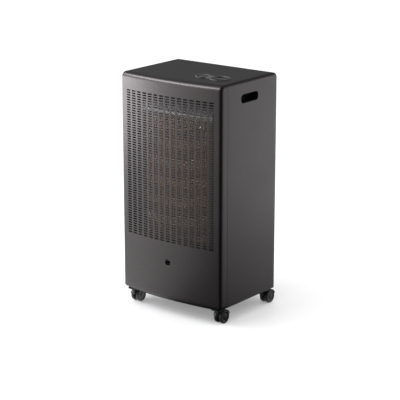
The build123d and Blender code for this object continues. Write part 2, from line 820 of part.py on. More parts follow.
nozzle_length = nozzle_plain + barb_count * barb_pitch
nozzle_plane = Plane(
    origin=(knob_x, control_y + valve_depth / 2, valve_z + valve_height / 2), z_dir=(0, 1, 0))
with BuildPart() as hose_nozzle:
    with BuildSketch(nozzle_plane):
        RegularPolygon(nozzle_hex / 2, 6, major_radius=False)
    extrude(amount=nozzle_hex_length)
    with BuildSketch(nozzle_plane.offset(nozzle_hex_length)):
        Circle(nozzle_radius)
    extrude(amount=nozzle_plain)
    for barb in range(barb_count):
        barb_start = nozzle_hex_length + nozzle_plain + barb * barb_pitch
        with BuildSketch(nozzle_plane.offset(barb_start)):
            Circle(nozzle_radius)
        with BuildSketch(nozzle_plane.offset(barb_start + barb_pitch)):
            Circle(nozzle_radius - barb_depth)
        loft()
    with BuildSketch(nozzle_plane):
        Circle(nozzle_bore)
    extrude(amount=nozzle_hex_length + nozzle_length, mode=Mode.SUBTRACT)

hose_nozzle.part.label = "hose_nozzle"
export_step(hose_nozzle.part, "parts/hose_nozzle.step")

# Stirrup under the top that carries valve and igniter
stirrup_left = button_x - bezel_button_radius - bezel_flange - valve_bracket_margin
stirrup_right = knob_x + bezel_knob_radius + bezel_flange + valve_bracket_margin
stirrup_z = valve_top_z
stirrup_top_z = top_z - sheet
with BuildPart() as valve_bracket:
    with BuildSketch(Plane.XZ.offset(-control_y)):
        with BuildLine():
            wall = valve_bracket_sheet
            Polyline(
                (stirrup_left - valve_bracket_foot, stirrup_top_z), (stirrup_left + wall, stirrup_top_z),
                (stirrup_left + wall, stirrup_z + wall), (stirrup_right - wall, stirrup_z + wall),
                (stirrup_right - wall, stirrup_top_z), (stirrup_right + valve_bracket_foot, stirrup_top_z),
                (stirrup_right + valve_bracket_foot, stirrup_top_z - wall),
                (stirrup_right, stirrup_top_z - wall), (stirrup_right, stirrup_z),
                (stirrup_left, stirrup_z), (stirrup_left, stirrup_top_z - wall),
                (stirrup_left - valve_bracket_foot, stirrup_top_z - wall), close=True)
        make_face()
    extrude(amount=valve_bracket_depth / 2, both=True)
    with BuildSketch(Plane.XY.offset(stirrup_z)):
        with Locations((knob_x, control_y)):
            Circle(neck_radius + fit_gap)
        with Locations((button_x, control_y)):
            Circle(piezo_radius + fit_gap)
    extrude(amount=valve_bracket_sheet, mode=Mode.SUBTRACT)

valve_bracket.part.label = "valve_bracket"
export_step(valve_bracket.part, "parts/valve_bracket.step")

piezo_top_z = button_well_z - bezel_wall
stem_bore_z = button_stem_z - button_travel - travel_spare
with BuildPart() as piezo_igniter:
    with BuildSketch(Plane(origin=(button_x, control_y, piezo_top_z))):
        Circle(piezo_radius)
    extrude(amount=-piezo_length)
    with BuildSketch(Plane(origin=(button_x, control_y, stirrup_z))):
        Circle(piezo_nut_radius)
    extrude(amount=-piezo_nut_height)
    with BuildSketch(Plane(origin=(button_x, control_y, piezo_top_z - piezo_length))):
        Circle(piezo_terminal_radius)
    extrude(amount=-piezo_terminal_length)
    with BuildSketch(Plane(origin=(button_x, control_y, stem_bore_z))):
        Circle(button_stem_radius + running_fit)
    extrude(amount=piezo_top_z - stem_bore_z, mode=Mode.SUBTRACT)

piezo_igniter.part.label = "piezo_igniter"
export_step(piezo_igniter.part, "parts/piezo_igniter.step")

# ---------------------------------------------------------------- gas pipes
burner_pipe = pipe(
    [(knob_x, control_y, valve_z), (knob_x, control_y, burner_middle_z),
     (knob_x, pan_back_y + injector_length, burner_middle_z)],
    burner_pipe_bend, burner_pipe_radius)
burner_pipe.label = "burner_pipe"
export_step(burner_pipe, "parts/burner_pipe.step")

pilot_pipe = pipe(
    [(pilot_pipe_x, control_y, valve_z), (pilot_pipe_x, control_y, pilot_pipe_z),
     (pilot_pipe_x, pilot_y, pilot_pipe_z), (0, pilot_y, pilot_pipe_z),
     (0, pilot_y, pilot_z - pilot_sheet - stem_below)],
    pilot_pipe_bend, pilot_pipe_radius)
pilot_pipe.label = "pilot_pipe"
export_step(pilot_pipe, "parts/pilot_pipe.step")

# ---------------------------------------------------------------- pilot group
bracket_front_y = pilot_y - pilot_bracket_flange / 2
with BuildPart() as pilot_bracket:
    with BuildSketch(Plane.XY.offset(pilot_z)):
        with Locations((0, (bracket_front_y + shield_y) / 2)):
            Rectangle(pilot_bracket_width, shield_y - bracket_front_y)
        for place, radius in ((0, pilot_radius), (pilot_spacing, thermocouple_radius),
                              (-pilot_spacing, electrode_radius)):
            with Locations((place, pilot_y)):
                Circle(radius + fit_gap, mode=Mode.SUBTRACT)
    extrude(amount=-pilot_sheet)
    with BuildSketch(Plane.XZ.offset(-shield_y)):
        with Locations((0, pilot_z - pilot_bracket_flange / 2)):
            Rectangle(pilot_bracket_width, pilot_bracket_flange)
    extrude(amount=pilot_sheet)

pilot_bracket.part.label = "pilot_bracket"
export_step(pilot_bracket.part, "parts/pilot_bracket.step")

with BuildPart() as pilot_burner:
    add(collared_stem(0, pilot_radius, pilot_length, stem_below))
    with BuildSketch(Plane(origin=(0, pilot_y, pilot_z + pilot_length))):
        Circle(pilot_radius - pilot_sheet)
    extrude(amount=collar_height - pilot_length, mode=Mode.SUBTRACT)

pilot_burner.part.label = "pilot_burner"
export_step(pilot_burner.part, "parts/pilot_burner.step")

with BuildPart() as thermocouple:
    add(collared_stem(pilot_spacing, thermocouple_radius, thermocouple_length, stem_below))

thermocouple.part.label = "thermocouple"
export_step(thermocouple.part, "parts/thermocouple.step")

with BuildPart() as spark_electrode:
    add(collared_stem(-pilot_spacing, electrode_radius, electrode_length, 2 * stem_below))
    with BuildSketch(Plane(origin=(-pilot_spacing, pilot_y, pilot_z + electrode_length))):
        Circle(spark_wire_radius)
    extrude(amount=spark_wire_length)

spark_electrode.part.label = "spark_electrode"
export_step(spark_electrode.part, "parts/spark_electrode.step")

# ---------------------------------------------------------------- casters
swivel_x = half_width - caster_inset_x
caster_places = {
    "front_left": (-swivel_x, front_y + caster_inset_y),
    "front_right": (swivel_x, front_y + caster_inset_y),
    "rear_left": (-swivel_x, rear_y - caster_inset_y),
    "rear_right": (swivel_x, rear_y - caster_inset_y),
}
pin_top_z = tray_z - caster_plate
boss_z = pin_top_z - fit_gap
hood_inner = wheel_radius + hood_clearance
hood_outer = hood_inner + hood_wall
pair_half = wheel_gap / 2 + wheel_width
web_half = wheel_gap / 2 - web_clearance
boss_low_z = wheel_radius + sqrt(hood_inner**2 - (caster_trail - caster_boss_radius)**2)

with BuildPart() as caster_plates:
    for swivel in caster_places.values():
        with BuildSketch(Plane(origin=(*swivel, pin_top_z))):
            RectangleRounded(caster_plate_size, caster_plate_size, caster_plate_round)
        extrude(amount=caster_plate)
        with BuildSketch(Plane(origin=(*swivel, pin_top_z))):
            Circle(pin_radius)
        extrude(amount=-pin_length)

caster_plates.part.label = "caster_plates"
export_step(caster_plates.part, "parts/caster_plates.step")


def caster_housing(x, y):
    """Web between the wheels, hood over them and boss round the swivel pin."""
    wheel_y = y + caster_trail
    middle = Plane(origin=(x, wheel_y, wheel_radius), x_dir=(0, 1, 0), z_dir=(1, 0, 0))
    with BuildPart() as housing:
        with BuildSketch(middle):
            with BuildLine():
                crown = CenterArc((0, 0), hood_outer, hood_from, hood_to - hood_from)
                Line((0, 0), crown @ 0)
                Line((0, 0), crown @ 1)
            make_face()
            Circle(caster_hub_radius)
            with Locations((-caster_trail, boss_z - pin_length / 2 - wheel_radius)):
                Rectangle(2 * caster_boss_radius, pin_length)
        extrude(amount=web_half, both=True)
        with BuildSketch(middle):
            with BuildLine():
                hood = CenterArc((0, 0), hood_outer, hood_from, hood_to - hood_from)
                skin = CenterArc((0, 0), hood_inner, hood_from, hood_to - hood_from)
                Line(hood @ 0, skin @ 0)
                Line(hood @ 1, skin @ 1)
            make_face()
        extrude(amount=pair_half, both=True)
        with BuildSketch(Plane(origin=(x, y, boss_low_z))):
            Circle(caster_boss_radius)
        extrude(amount=boss_z - boss_low_z)
        with BuildSketch(Plane(origin=(x, y, boss_z))):
            Circle(pin_radius + running_fit)
        extrude(amount=fit_gap - pin_length, mode=Mode.SUBTRACT)
        with BuildSketch(middle):
            Circle(axle_radius + running_fit)
        extrude(amount=body_width, both=True, mode=Mode.SUBTRACT)
    return housing.part


def caster_axle(x, y):
    """Axle through the web and both wheels."""
    with BuildPart() as axle:
        middle = Plane(origin=(x, y + caster_trail, wheel_radius), z_dir=(1, 0, 0))
        with BuildSketch(middle):
            Circle(axle_radius)
        extrude(amount=pair_half - wheel_dish, both=True)
    return axle.part


def caster_wheel(x, y, side):
    """Wheel with a rounded tread, a dished outer face and a hub round the axle."""
    inner = wheel_gap / 2
    outer = inner + wheel_width
    bore = axle_radius + running_fit
    with BuildPart() as wheel:
        with BuildSketch(Plane(origin=(x, y + caster_trail, wheel_radius), x_dir=(side, 0, 0),
                               z_dir=(0, -side, 0))):
            with BuildLine():
                Polyline(
                    (inner, bore), (inner, wheel_radius - wheel_round), (inner + wheel_round, wheel_radius),
                    (outer - wheel_round, wheel_radius), (outer, wheel_radius - wheel_round),
                    (outer, wheel_radius - wheel_rim), (outer - wheel_dish, wheel_hub_radius),
                    (outer - wheel_dish, bore), close=True)
            make_face()
        revolve(axis=Axis((x, y + caster_trail, wheel_radius), (1, 0, 0)))
    return wheel.part


for caster_name, (swivel_at_x, swivel_at_y) in caster_places.items():
    pieces = {
        "housing": caster_housing(swivel_at_x, swivel_at_y),
        "axle": caster_axle(swivel_at_x, swivel_at_y),
        "wheel_left": caster_wheel(swivel_at_x, swivel_at_y, -1),
        "wheel_right": caster_wheel(swivel_at_x, swivel_at_y, 1),
    }
    for piece_name, piece in pieces.items():
        piece.label = f"{caster_name}_{piece_name}"
        export_step(piece, f"parts/{caster_name}_{piece_name}.step")
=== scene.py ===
import json
import math
import bmesh
import bpy
import numpy as np
from mathutils import Matrix, Vector

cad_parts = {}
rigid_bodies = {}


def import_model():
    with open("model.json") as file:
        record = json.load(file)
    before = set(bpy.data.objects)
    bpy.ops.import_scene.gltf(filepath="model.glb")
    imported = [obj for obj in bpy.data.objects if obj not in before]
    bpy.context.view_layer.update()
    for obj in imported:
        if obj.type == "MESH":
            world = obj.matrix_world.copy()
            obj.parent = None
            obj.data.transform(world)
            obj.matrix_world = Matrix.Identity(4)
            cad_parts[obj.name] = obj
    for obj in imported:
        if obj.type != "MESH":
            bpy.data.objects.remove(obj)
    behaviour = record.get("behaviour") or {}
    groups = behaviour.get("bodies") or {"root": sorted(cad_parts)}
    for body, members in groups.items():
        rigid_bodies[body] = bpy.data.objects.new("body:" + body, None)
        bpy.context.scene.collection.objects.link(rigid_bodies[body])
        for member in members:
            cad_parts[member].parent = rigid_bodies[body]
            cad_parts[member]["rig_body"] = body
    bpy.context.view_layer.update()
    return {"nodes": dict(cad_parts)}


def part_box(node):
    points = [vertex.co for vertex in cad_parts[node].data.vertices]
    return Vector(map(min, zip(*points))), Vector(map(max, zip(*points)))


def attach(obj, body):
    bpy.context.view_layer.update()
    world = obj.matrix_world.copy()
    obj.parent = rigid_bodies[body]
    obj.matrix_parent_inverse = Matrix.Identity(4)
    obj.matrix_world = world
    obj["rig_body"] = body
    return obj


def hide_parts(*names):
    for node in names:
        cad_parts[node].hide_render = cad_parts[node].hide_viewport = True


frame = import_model()

# ---------------- sizes in metres
# Cabinet form, read from the frame where it holds the value
MM = 0.001
TINY = 1e-6                          # stations closer than this are one, shorter edges go
MERGE = 2e-5                         # points of a new piece closer than this are one
COPY_MERGE = 2e-6                    # and those of a packed copy
FIT = 0.3 * MM                       # clearance of what sits in a hole
shell_low, shell_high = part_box("cabinet_shell")
HALF = shell_high.x                  # half the cabinet's width
UNDERSIDE = shell_low.z
TOP = shell_high.z
REAR = shell_high.y
MIDDLE = Vector((0, 0, (TOP + UNDERSIDE) / 2))
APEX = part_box("front_cover")[0].y    # foremost line of the bowed front
BOW = 16 * MM
SHEET = 1.2 * MM
EDGE = 8.5 * MM                      # round of the side edges
TOP_ROLL = 16 * MM
FOOT_ROLL = 9 * MM
HEM = 8.7 * MM
FRONT_EDGE = APEX + BOW
BOW_RADIUS = (HALF**2 + BOW**2) / (2 * BOW)
BOW_CENTRE = APEX + BOW_RADIUS

# Seam between front cover and cabinet
SEAM_BACK = FRONT_EDGE + 32 * MM
SEAM_LEAN = 16 * MM
SEAM_SWEEP = 34 * MM
SEAM_ROUND = (SEAM_LEAN**2 + SEAM_SWEEP**2) / (2 * SEAM_LEAN)
SEAM_HALF_GAP = 0.6 * MM

# Slotted field of the front, with as many rows as were read from the photo, and the sight hole
SLOT_COLUMNS = 15
SLOT_ROWS = 60
SLOT_PITCH_X = 23 * MM
SLOT_PITCH_Z = 7.73 * MM
SLOT_LENGTH = 17 * MM
SLOT_HEIGHT = 4.2 * MM
FIELD_MIDDLE = UNDERSIDE + 418 * MM
SIGHT_RADIUS = 9.5 * MM
SIGHT_LIP = 2.2 * MM
SIGHT_DEPTH = 5 * MM
SIGHT_HEIGHT = UNDERSIDE + 120 * MM

# Hand holes, rear opening and rear cover
grip_low, grip_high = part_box("hand_grip_right")
HAND_Y = (grip_low.y + grip_high.y) / 2
HAND_Z = (grip_low.z + grip_high.z) / 2
HAND_LENGTH = 87 * MM
HAND_HEIGHT = 28 * MM
HAND_ROUND = 11 * MM
HAND_BLOCK = (56 * MM, 22 * MM)      # half the length and height of the cells round the hole
RETURN = 25 * MM
RAIL = 62 * MM
HOOK_X = 115 * MM
HOOK_WIDTH = 26 * MM
HINGE_Z = TOP - 40 * MM
HOOK_SLOT = (HINGE_Z, HINGE_Z + 9 * MM - FIT)
hatch_low, hatch_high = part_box("rear_cover")
BOTTLE_Y = REAR - 72 * MM
BULGE_RADIUS = hatch_high.y - BOTTLE_Y

# Controls and the bezel round them
button_low, button_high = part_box("igniter_button")
knob_low, knob_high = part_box("control_knob")
CONTROL_Y = (knob_low.y + knob_high.y) / 2
KNOB_X = (knob_low.x + knob_high.x) / 2
BUTTON_X = (button_low.x + button_high.x) / 2
KNOB_ROUND = 33 * MM
BUTTON_ROUND = 24 * MM
WAIST = 14 * MM                      # half the bezel's height between its two rounds
WAIST_SOFT = 8 * MM
SEAT_X = (BUTTON_X - 34 * MM, KNOB_X + 40 * MM)
SEAT_DEPTH = 42 * MM                 # half the depth of the cells round the cut-out

WHITE = (1.0, 1.0, 1.0, 1.0)


# ---------------- shapes as arrays
def grid_faces(rows, columns, keep=None):
    """Quads between neighbouring points of a grid counted row by row; keep masks the cells that stay."""
    row, column = np.meshgrid(np.arange(rows - 1), np.arange(columns - 1), indexing="ij")
    corner = row * columns + column
    quads = np.stack([corner, corner + 1, corner + columns + 1, corner + columns], axis=-1)
    return quads.reshape(-1, 4) if keep is None else quads[keep]


def loop_faces(rings, count):
    """Quads between rings of count points each, every ring closed on itself."""
    ring, place = np.meshgrid(np.arange(rings - 1), np.arange(count), indexing="ij")
    after = (place + 1) % count
    start = ring * count
    quads = np.stack([start + place, start + after, start + count + after, start + count + place], axis=-1)
    return quads.reshape(-1, 4)


def grid_patch(x, y, z, keep=None):
    """A patch from three arrays of one shape (rows, columns)."""
    x, y, z = np.broadcast_arrays(x, y, z)
    points = np.stack([x, y, z], axis=-1).reshape(-1, 3)
    return points, grid_faces(*x.shape, keep)


def loop_patch(x, y, z):
    """A patch of closed rings from three arrays of one shape (rings, count)."""
    x, y, z = np.broadcast_arrays(x, y, z)
    points = np.stack([x, y, z], axis=-1).reshape(-1, 3)
    return points, loop_faces(*x.shape)


def steps(*stops_and_counts):
    """Rising or falling stations: steps(a, n, b, m, c) goes from a to b in n parts and on to c in m."""
    stops, counts = stops_and_counts[::2], stops_and_counts[1::2]
    runs = [np.linspace(a, b, n + 1)[:-1] for a, b, n in zip(stops, stops[1:], counts)]
    return np.concatenate([*runs, [stops[-1]]])


def along_loop(loop, shares):
    """Points at the given shares of a closed loop's length, measured from its first point."""
    closed = np.vstack([loop, loop[:1]])
    length = np.concatenate([[0], np.cumsum(np.linalg.norm(np.diff(closed, axis=0), axis=1))])
    return np.stack([np.interp(shares * length[-1], length, closed[:, k]) for k in (0, 1)], axis=-1)


def loop_shares(loop):
    """Share of a closed loop's length at each of its points."""
    length = np.linalg.norm(np.roll(loop, -1, axis=0) - loop, axis=1)
    return np.concatenate([[0], np.cumsum(length)[:-1]]) / length.sum()


def grid_border(grid):
    """Values along a grid's border, counterclockwise from its first corner."""
    return np.concatenate([grid[0, :-1], grid[:-1, -1], grid[-1, :0:-1], grid[:0:-1, 0]])


def frame_loop(across, up):
    """Loop round the border of a grid's block, from the middle of its right side, counterclockwise."""
    loop = np.stack([grid_border(grid) for grid in np.meshgrid(across, up)], axis=-1)
    return np.roll(loop, 1 - len(across) - len(up) // 2, axis=0)


def arc(centre, radius, start, stop, count):
    """Points of a circle arc between two angles in degrees."""
    angle = np.radians(np.linspace(start, stop, count))
    return np.stack([centre[0] + radius * np.cos(angle), centre[1] + radius * np.sin(angle)], axis=-1)


def rounded_loop(length, height, radius, count):
    """Rectangle about the origin with round corners of count points, from the right side's middle."""
    a, b = length / 2 - radius, height / 2 - radius
    corners = [arc((a, b), radius, 0, 90, count), arc((-a, b), radius, 90, 180, count),
               arc((-a, -b), radius, 180, 270, count), arc((a, -b), radius, 270, 360, count)]
    return np.vstack([[[length / 2, 0]], *corners])


def ring_patch(border, opening, rings, place):
    """Rings that shrink evenly from a border loop to an opening; place turns (u, v) into points."""
    inner = along_loop(opening, loop_shares(border))
    share = np.linspace(0, 1, rings + 1)[:, None, None]
    loops = border * (1 - share) + inner * share
    return loop_patch(*place(loops[..., 0], loops[..., 1])), inner


def turned(profile, centre, count):
    """Surface of revolution about X: a profile of (along the axis, radius) in mm, carried round."""
    along, radius = np.array(profile, float).T[:, :, None] * MM
    angle = np.linspace(0, 2 * math.pi, count, endpoint=False)[None, :]
    return loop_patch(centre[0] + along, centre[1] + radius * np.cos(angle),
                      centre[2] + radius * np.sin(angle))


# ---------------- pieces
def placed(name, data):
    """An object of that data in the scene."""
    thing = bpy.data.objects.new(name, data)
    bpy.context.scene.collection.objects.link(thing)
    return thing


def baked(piece, sharp):
    """Applies the piece's modifiers and marks edges sharper than sharp degrees."""
    bpy.context.view_layer.update()
    depsgraph = bpy.context.evaluated_depsgraph_get()
    mesh = bpy.data.meshes.new_from_object(piece.evaluated_get(depsgraph))
    piece.modifiers.clear()
    piece.data = mesh
    mesh.polygons.foreach_set("use_smooth", np.ones(len(mesh.polygons), bool))
    mesh.set_sharp_from_angle(angle=math.radians(sharp))


def clean_mesh(mesh, open_sheet):
    """Merges doubles and turns every face outwards, on an open sheet away from the cabinet's middle."""
    form = bmesh.new()
    form.from_mesh(mesh)
    bmesh.ops.remove_doubles(form, verts=form.verts, dist=MERGE)
    bmesh.ops.dissolve_degenerate(form, edges=form.edges, dist=TINY)
    bmesh.ops.recalc_face_normals(form, faces=form.faces)
    if open_sheet:
        spread = sum((f.calc_center_median() - MIDDLE).normalized().dot(f.normal) * f.calc_area()
                     for f in form.faces)
        if spread < 0:
            bmesh.ops.reverse_faces(form, faces=form.faces)
    form.to_mesh(mesh)
    form.free()


def make_piece(name, patches, material, body="root", stands_for=(), wall=0.0, sharp=35):
    """One object from patches of points and faces, merged, given its wall and set on its body.

    A piece with a wall is an open sheet. Edges sharper than sharp degrees stay hard.
    """
    points, faces, start = [], [], 0
    for patch_points, patch_faces in patches:
        points.append(patch_points)
        faces.extend((np.asarray(patch_faces) + start).tolist())
        start += len(patch_points)
    mesh = bpy.data.meshes.new(name)
    mesh.from_pydata(np.vstack(points).tolist(), [], faces)
    clean_mesh(mesh, bool(wall))
    piece = placed(name, mesh)
    mesh.materials.append(material)
    if wall:
        sheet = piece.modifiers.new("wall", "SOLIDIFY")
        sheet.thickness = wall
        sheet.offset = -1
        sheet.use_even_offset = False
    baked(piece, sharp)
    settle(piece, body, stands_for)


def settle(piece, body, stands_for):
    """Rides the piece on its body and hides the nodes that it stands for."""
    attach(piece, body)
    if stands_for:
        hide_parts(*stands_for)


FLAT_ANGLE = 0.4                     # degrees between faces of a packed copy that are made one
SOFT_ANGLE = 30                      # its edges sharper than this are softened
HARD_ANGLE = 32                      # and those still sharper than this afterwards stay hard


def finished_copy(node, material, softness):
    """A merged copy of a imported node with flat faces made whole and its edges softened."""
    source = frame["nodes"][node]
    mesh = source.data.copy()
    mesh.name = node + "_finish"
    mesh.materials.clear()
    mesh.materials.append(material)
    form = bmesh.new()
    form.from_mesh(mesh)
    bmesh.ops.remove_doubles(form, verts=form.verts, dist=COPY_MERGE)
    bmesh.ops.dissolve_limit(form, angle_limit=math.radians(FLAT_ANGLE), verts=form.verts, edges=form.edges)
    form.to_mesh(mesh)
    form.free()
    if "custom_normal" in mesh.attributes:
        mesh.attributes.remove(mesh.attributes["custom_normal"])
    piece = placed(node + "_finish", mesh)
    if softness:
        soft = piece.modifiers.new("soft_edges", "BEVEL")
        soft.width = softness
        soft.segments = 2
        soft.limit_method = "ANGLE"
        soft.angle_limit = math.radians(SOFT_ANGLE)
    baked(piece, HARD_ANGLE)
    settle(piece, source["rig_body"], (node,))


# ---------------- shader nodes
def feed(tree, sockets, values):
    """Feeds sockets by name or number: from an output that is linked, or with a plain value."""
    for key, value in values.items():
        if isinstance(value, bpy.types.NodeSocket):
            tree.links.new(value, sockets[key])
        else:
            sockets[key].default_value = value


def add_node(tree, kind, inputs=None, **settings):
    """A shader node with its settings and what feeds it."""
    node = tree.nodes.new("ShaderNode" + kind)
    for key, value in settings.items():
        setattr(node, key, value)
    feed(tree, node.inputs, inputs or {})
    return node


def calculated(tree, operation, *values, clamp=False):
    """Output of a math node on sockets or numbers."""
    node = add_node(tree, "Math", dict(enumerate(values)), operation=operation, use_clamp=clamp)
    return node.outputs["Value"]


def ranged(tree, value, low, high, to_low, to_high, **settings):
    """Output of a map range node that carries low..high over to to_low..to_high."""
    node = add_node(tree, "MapRange", {"Value": value, "From Min": low, "From Max": high,
                                       "To Min": to_low, "To Max": to_high}, **settings)
    return node.outputs["Result"]


def blended(tree, share, first, second):
    """Colour that goes from the first to the second by share."""
    node = add_node(tree, "Mix", {"Factor": share, "A": first, "B": second}, data_type="RGBA")
    return node.outputs["Result"]


def new_material(name):
    """A material with nodes, its tree and the inputs of its shader."""
    material = bpy.data.materials.new(name)
    material.use_nodes = True
    return material, material.node_tree, material.node_tree.nodes["Principled BSDF"].inputs


# ---------------- effects that materials share
def effect(name, inputs, outputs):
    """An empty node group, what it is given and what it puts out.

    inputs are (name, socket type, value), outputs (name, socket type).
    """
    group = bpy.data.node_groups.new(name, "ShaderNodeTree")
    for label, kind, value in inputs:
        socket = group.interface.new_socket(name=label, in_out="INPUT", socket_type="NodeSocket" + kind)
        socket.default_value = value
    for label, kind in outputs:
        group.interface.new_socket(name=label, in_out="OUTPUT", socket_type="NodeSocket" + kind)
    return group, group.nodes.new("NodeGroupInput").outputs, group.nodes.new("NodeGroupOutput").inputs


def grain_effect():
    """Fine cells over slow waves: the skin of powder coat, moulded plastic and cast metal."""
    group, given, out = effect(
        "skin_grain", [("Fine Scale", "Float", 600.0), ("Slow Scale", "Float", 9.0)],
        [("Height", "Float"), ("Patches", "Float")])
    place = add_node(group, "TexCoord").outputs["Object"]
    fine = {"Vector": place, "Scale": given["Fine Scale"], "Detail": 3.0}
    slow = {"Vector": place, "Scale": given["Slow Scale"], "Detail": 4.0, "Roughness": 0.6}
    feed(group, out, {"Height": add_node(group, "TexNoise", fine).outputs["Fac"],
                      "Patches": add_node(group, "TexNoise", slow).outputs["Fac"]})
    return group


def lines_effect():
    """Long streaks along one axis: rolled, brushed or drawn metal."""
    group, given, out = effect(
        "drawn_lines", [("Stretch", "Vector", (400.0, 400.0, 4.0))],
        [("Height", "Float"), ("Streaks", "Float")])
    place = add_node(group, "TexCoord").outputs["Object"]
    drawn = add_node(group, "VectorMath", {0: place, 1: given["Stretch"]}, operation="MULTIPLY")
    streak = add_node(group, "TexNoise", {"Vector": drawn.outputs["Vector"], "Scale": 1.0, "Detail": 5.0})
    feed(group, out, {"Height": streak.outputs["Fac"], "Streaks": streak.outputs["Fac"]})
    return group


def tone_effect():
    """Colour that drifts between a darker and a lighter tone by a mask."""
    group, given, out = effect(
        "tone_drift", [("Dark", "Color", WHITE), ("Light", "Color", WHITE), ("Mask", "Float", 0.5)],
        [("Color", "Color")])
    share = ranged(group, given["Mask"], *TONE_MASK, 0.0, 1.0, interpolation_type="SMOOTHSTEP")
    feed(group, out, {"Color": blended(group, share, given["Dark"], given["Light"])})
    return group


def band_effect():
    """A tint over a band of heights, fading at its ends: heat colour on the burner's mesh and pad, and
    painted shade on the heat shield, the burner frame and the recesses of the bezel, knob and button.
    """
    group, given, out = effect(
        "height_band",
        [("Color", "Color", WHITE), ("Tint", "Color", (0.5, 0.35, 0.2, 1.0)),
         ("Middle", "Float", 0.45), ("Reach", "Float", 0.25), ("Fade", "Float", 0.25)],
        [("Color", "Color")])
    place = add_node(group, "TexCoord").outputs["Object"]
    height = add_node(group, "SeparateXYZ", {"Vector": place}).outputs["Z"]
    off = calculated(group, "ABSOLUTE", calculated(group, "SUBTRACT", height, given["Middle"]))
    left = calculated(group, "SUBTRACT", given["Reach"], off)
    share = calculated(group, "DIVIDE", left, given["Fade"], clamp=True)
    feed(group, out, {"Color": blended(group, share, given["Color"], given["Tint"])})
    return group


TONE_MASK = (0.32, 0.68)             # values of a mask between which the colour goes from dark to light
GLOSS_MASK = (0.3, 0.7)              # and the roughness from its first to its last
GRAIN = grain_effect()
LINES = lines_effect()
TONE = tone_effect()
BAND = band_effect()


def grey(level):
    """Colour without a hue."""
    return (level, level, level)


def surface(name, dark, light, rough, bump, fine=600.0, slow=9.0, metallic=0.0, stretch=None,
            tint=None, zone=(0.45, 0.25, 0.25), constants=None, slot=None):
    """A material whose tone, roughness and bump follow one shared effect.

    dark and light are the ends of its colour, rough the ends of its roughness, bump the height in
    metres, stretch the streaks' scale on a drawn metal. tint is a colour that it takes round a
    height, and zone that height, its reach and its fade. Constants go on the shader's own sockets.
    slot is the record's name where it differs from the material's; it is not used.
    """
    material, tree, shader = new_material(name)
    if stretch:
        texture = add_node(tree, "Group", {"Stretch": stretch}, node_tree=LINES).outputs
        mask = texture["Streaks"]
    else:
        texture = add_node(tree, "Group", {"Fine Scale": fine, "Slow Scale": slow}, node_tree=GRAIN).outputs
        mask = texture["Patches"]
    tones = {"Dark": (*dark, 1.0), "Light": (*light, 1.0), "Mask": mask}
    colour = add_node(tree, "Group", tones, node_tree=TONE).outputs["Color"]
    if tint:
        band = {"Color": colour, "Tint": (*tint, 1.0), "Middle": zone[0], "Reach": zone[1], "Fade": zone[2]}
        colour = add_node(tree, "Group", band, node_tree=BAND).outputs["Color"]
    gloss = ranged(tree, mask, *GLOSS_MASK, *rough)
    relief = add_node(tree, "Bump", {"Strength": 1.0, "Distance": bump, "Height": texture["Height"]})
    feed(tree, shader, {"Base Color": colour, "Roughness": gloss, "Normal": relief.outputs["Normal"],
                        "Metallic": metallic, **(constants or {})})
    return material


CABINET_PAINT = surface(
    "cabinet_paint", (0.0050, 0.0043, 0.0042), (0.0070, 0.0061, 0.0060), (0.35, 0.40), 0.00003,
    fine=420.0, slow=6.0,
    constants={"Specular IOR Level": 0.75, "Specular Tint": (1.0, 0.91, 0.915, 1.0)})
TRAY_PAINT = surface("tray_paint", grey(0.008), grey(0.013), (0.55, 0.7), 0.00003, fine=500.0)
ZINC_SKIN = {"rough": (0.5, 0.62), "bump": 0.00001, "fine": 300.0, "slow": 55.0}
ZINC = surface("zinc_sheet", (0.36, 0.37, 0.36), (0.52, 0.53, 0.52), metallic=0.75, **ZINC_SKIN)
# Painted shade: the frame turns dark brown from about 0.22 m to 0.64 m high, standing in for the shade in
# the cavity round the pad. Only its top band keeps the steel's own grey.
FRAME_STEEL = surface(
    "frame_steel", (0.36, 0.38, 0.35), (0.46, 0.48, 0.44), (0.38, 0.5), 0.00002, fine=200.0, slow=30.0,
    metallic=0.5, tint=(0.10, 0.08, 0.063), zone=(0.43, 0.215, 0.02))
DEFLECTOR_ZINC = surface(
    "deflector_zinc", (0.42, 0.44, 0.42), (0.54, 0.56, 0.54), metallic=0.25, slot="zinc_sheet", **ZINC_SKIN)
# Painted shade: a near-black band about 0.68 m high, near the shield's top, stands in for the shade of the
# cavity behind the upper rows of slots.
SHIELD_ZINC = surface(
    "shield_zinc", (0.36, 0.37, 0.36), (0.52, 0.53, 0.52), metallic=0.5, tint=grey(0.012),
    zone=(0.68, 0.04, 0.01), slot="zinc_sheet", **ZINC_SKIN)
MESH_WIRE = surface(
    "mesh_wire", (0.48, 0.36, 0.27), (0.82, 0.66, 0.52), (0.4, 0.58), 0.00001, fine=900.0, slow=25.0,
    metallic=0.55, tint=(0.78, 0.52, 0.32))
PAD_FIBRE = surface(
    "pad_fibre", (0.095, 0.055, 0.034), (0.16, 0.10, 0.064), (0.85, 0.98), 0.0006, fine=520.0, slow=60.0,
    tint=(0.15, 0.08, 0.036))
# Painted shade: the bezel turns near black below its rim, in the recess round the knob and the button.
BEZEL_PLASTIC = surface(
    "bezel_plastic", (0.075, 0.07, 0.068), (0.095, 0.09, 0.087), (0.3, 0.38), 0.00002, fine=1500.0,
    tint=grey(0.003), zone=(0.740, 0.0160, 0.0012))
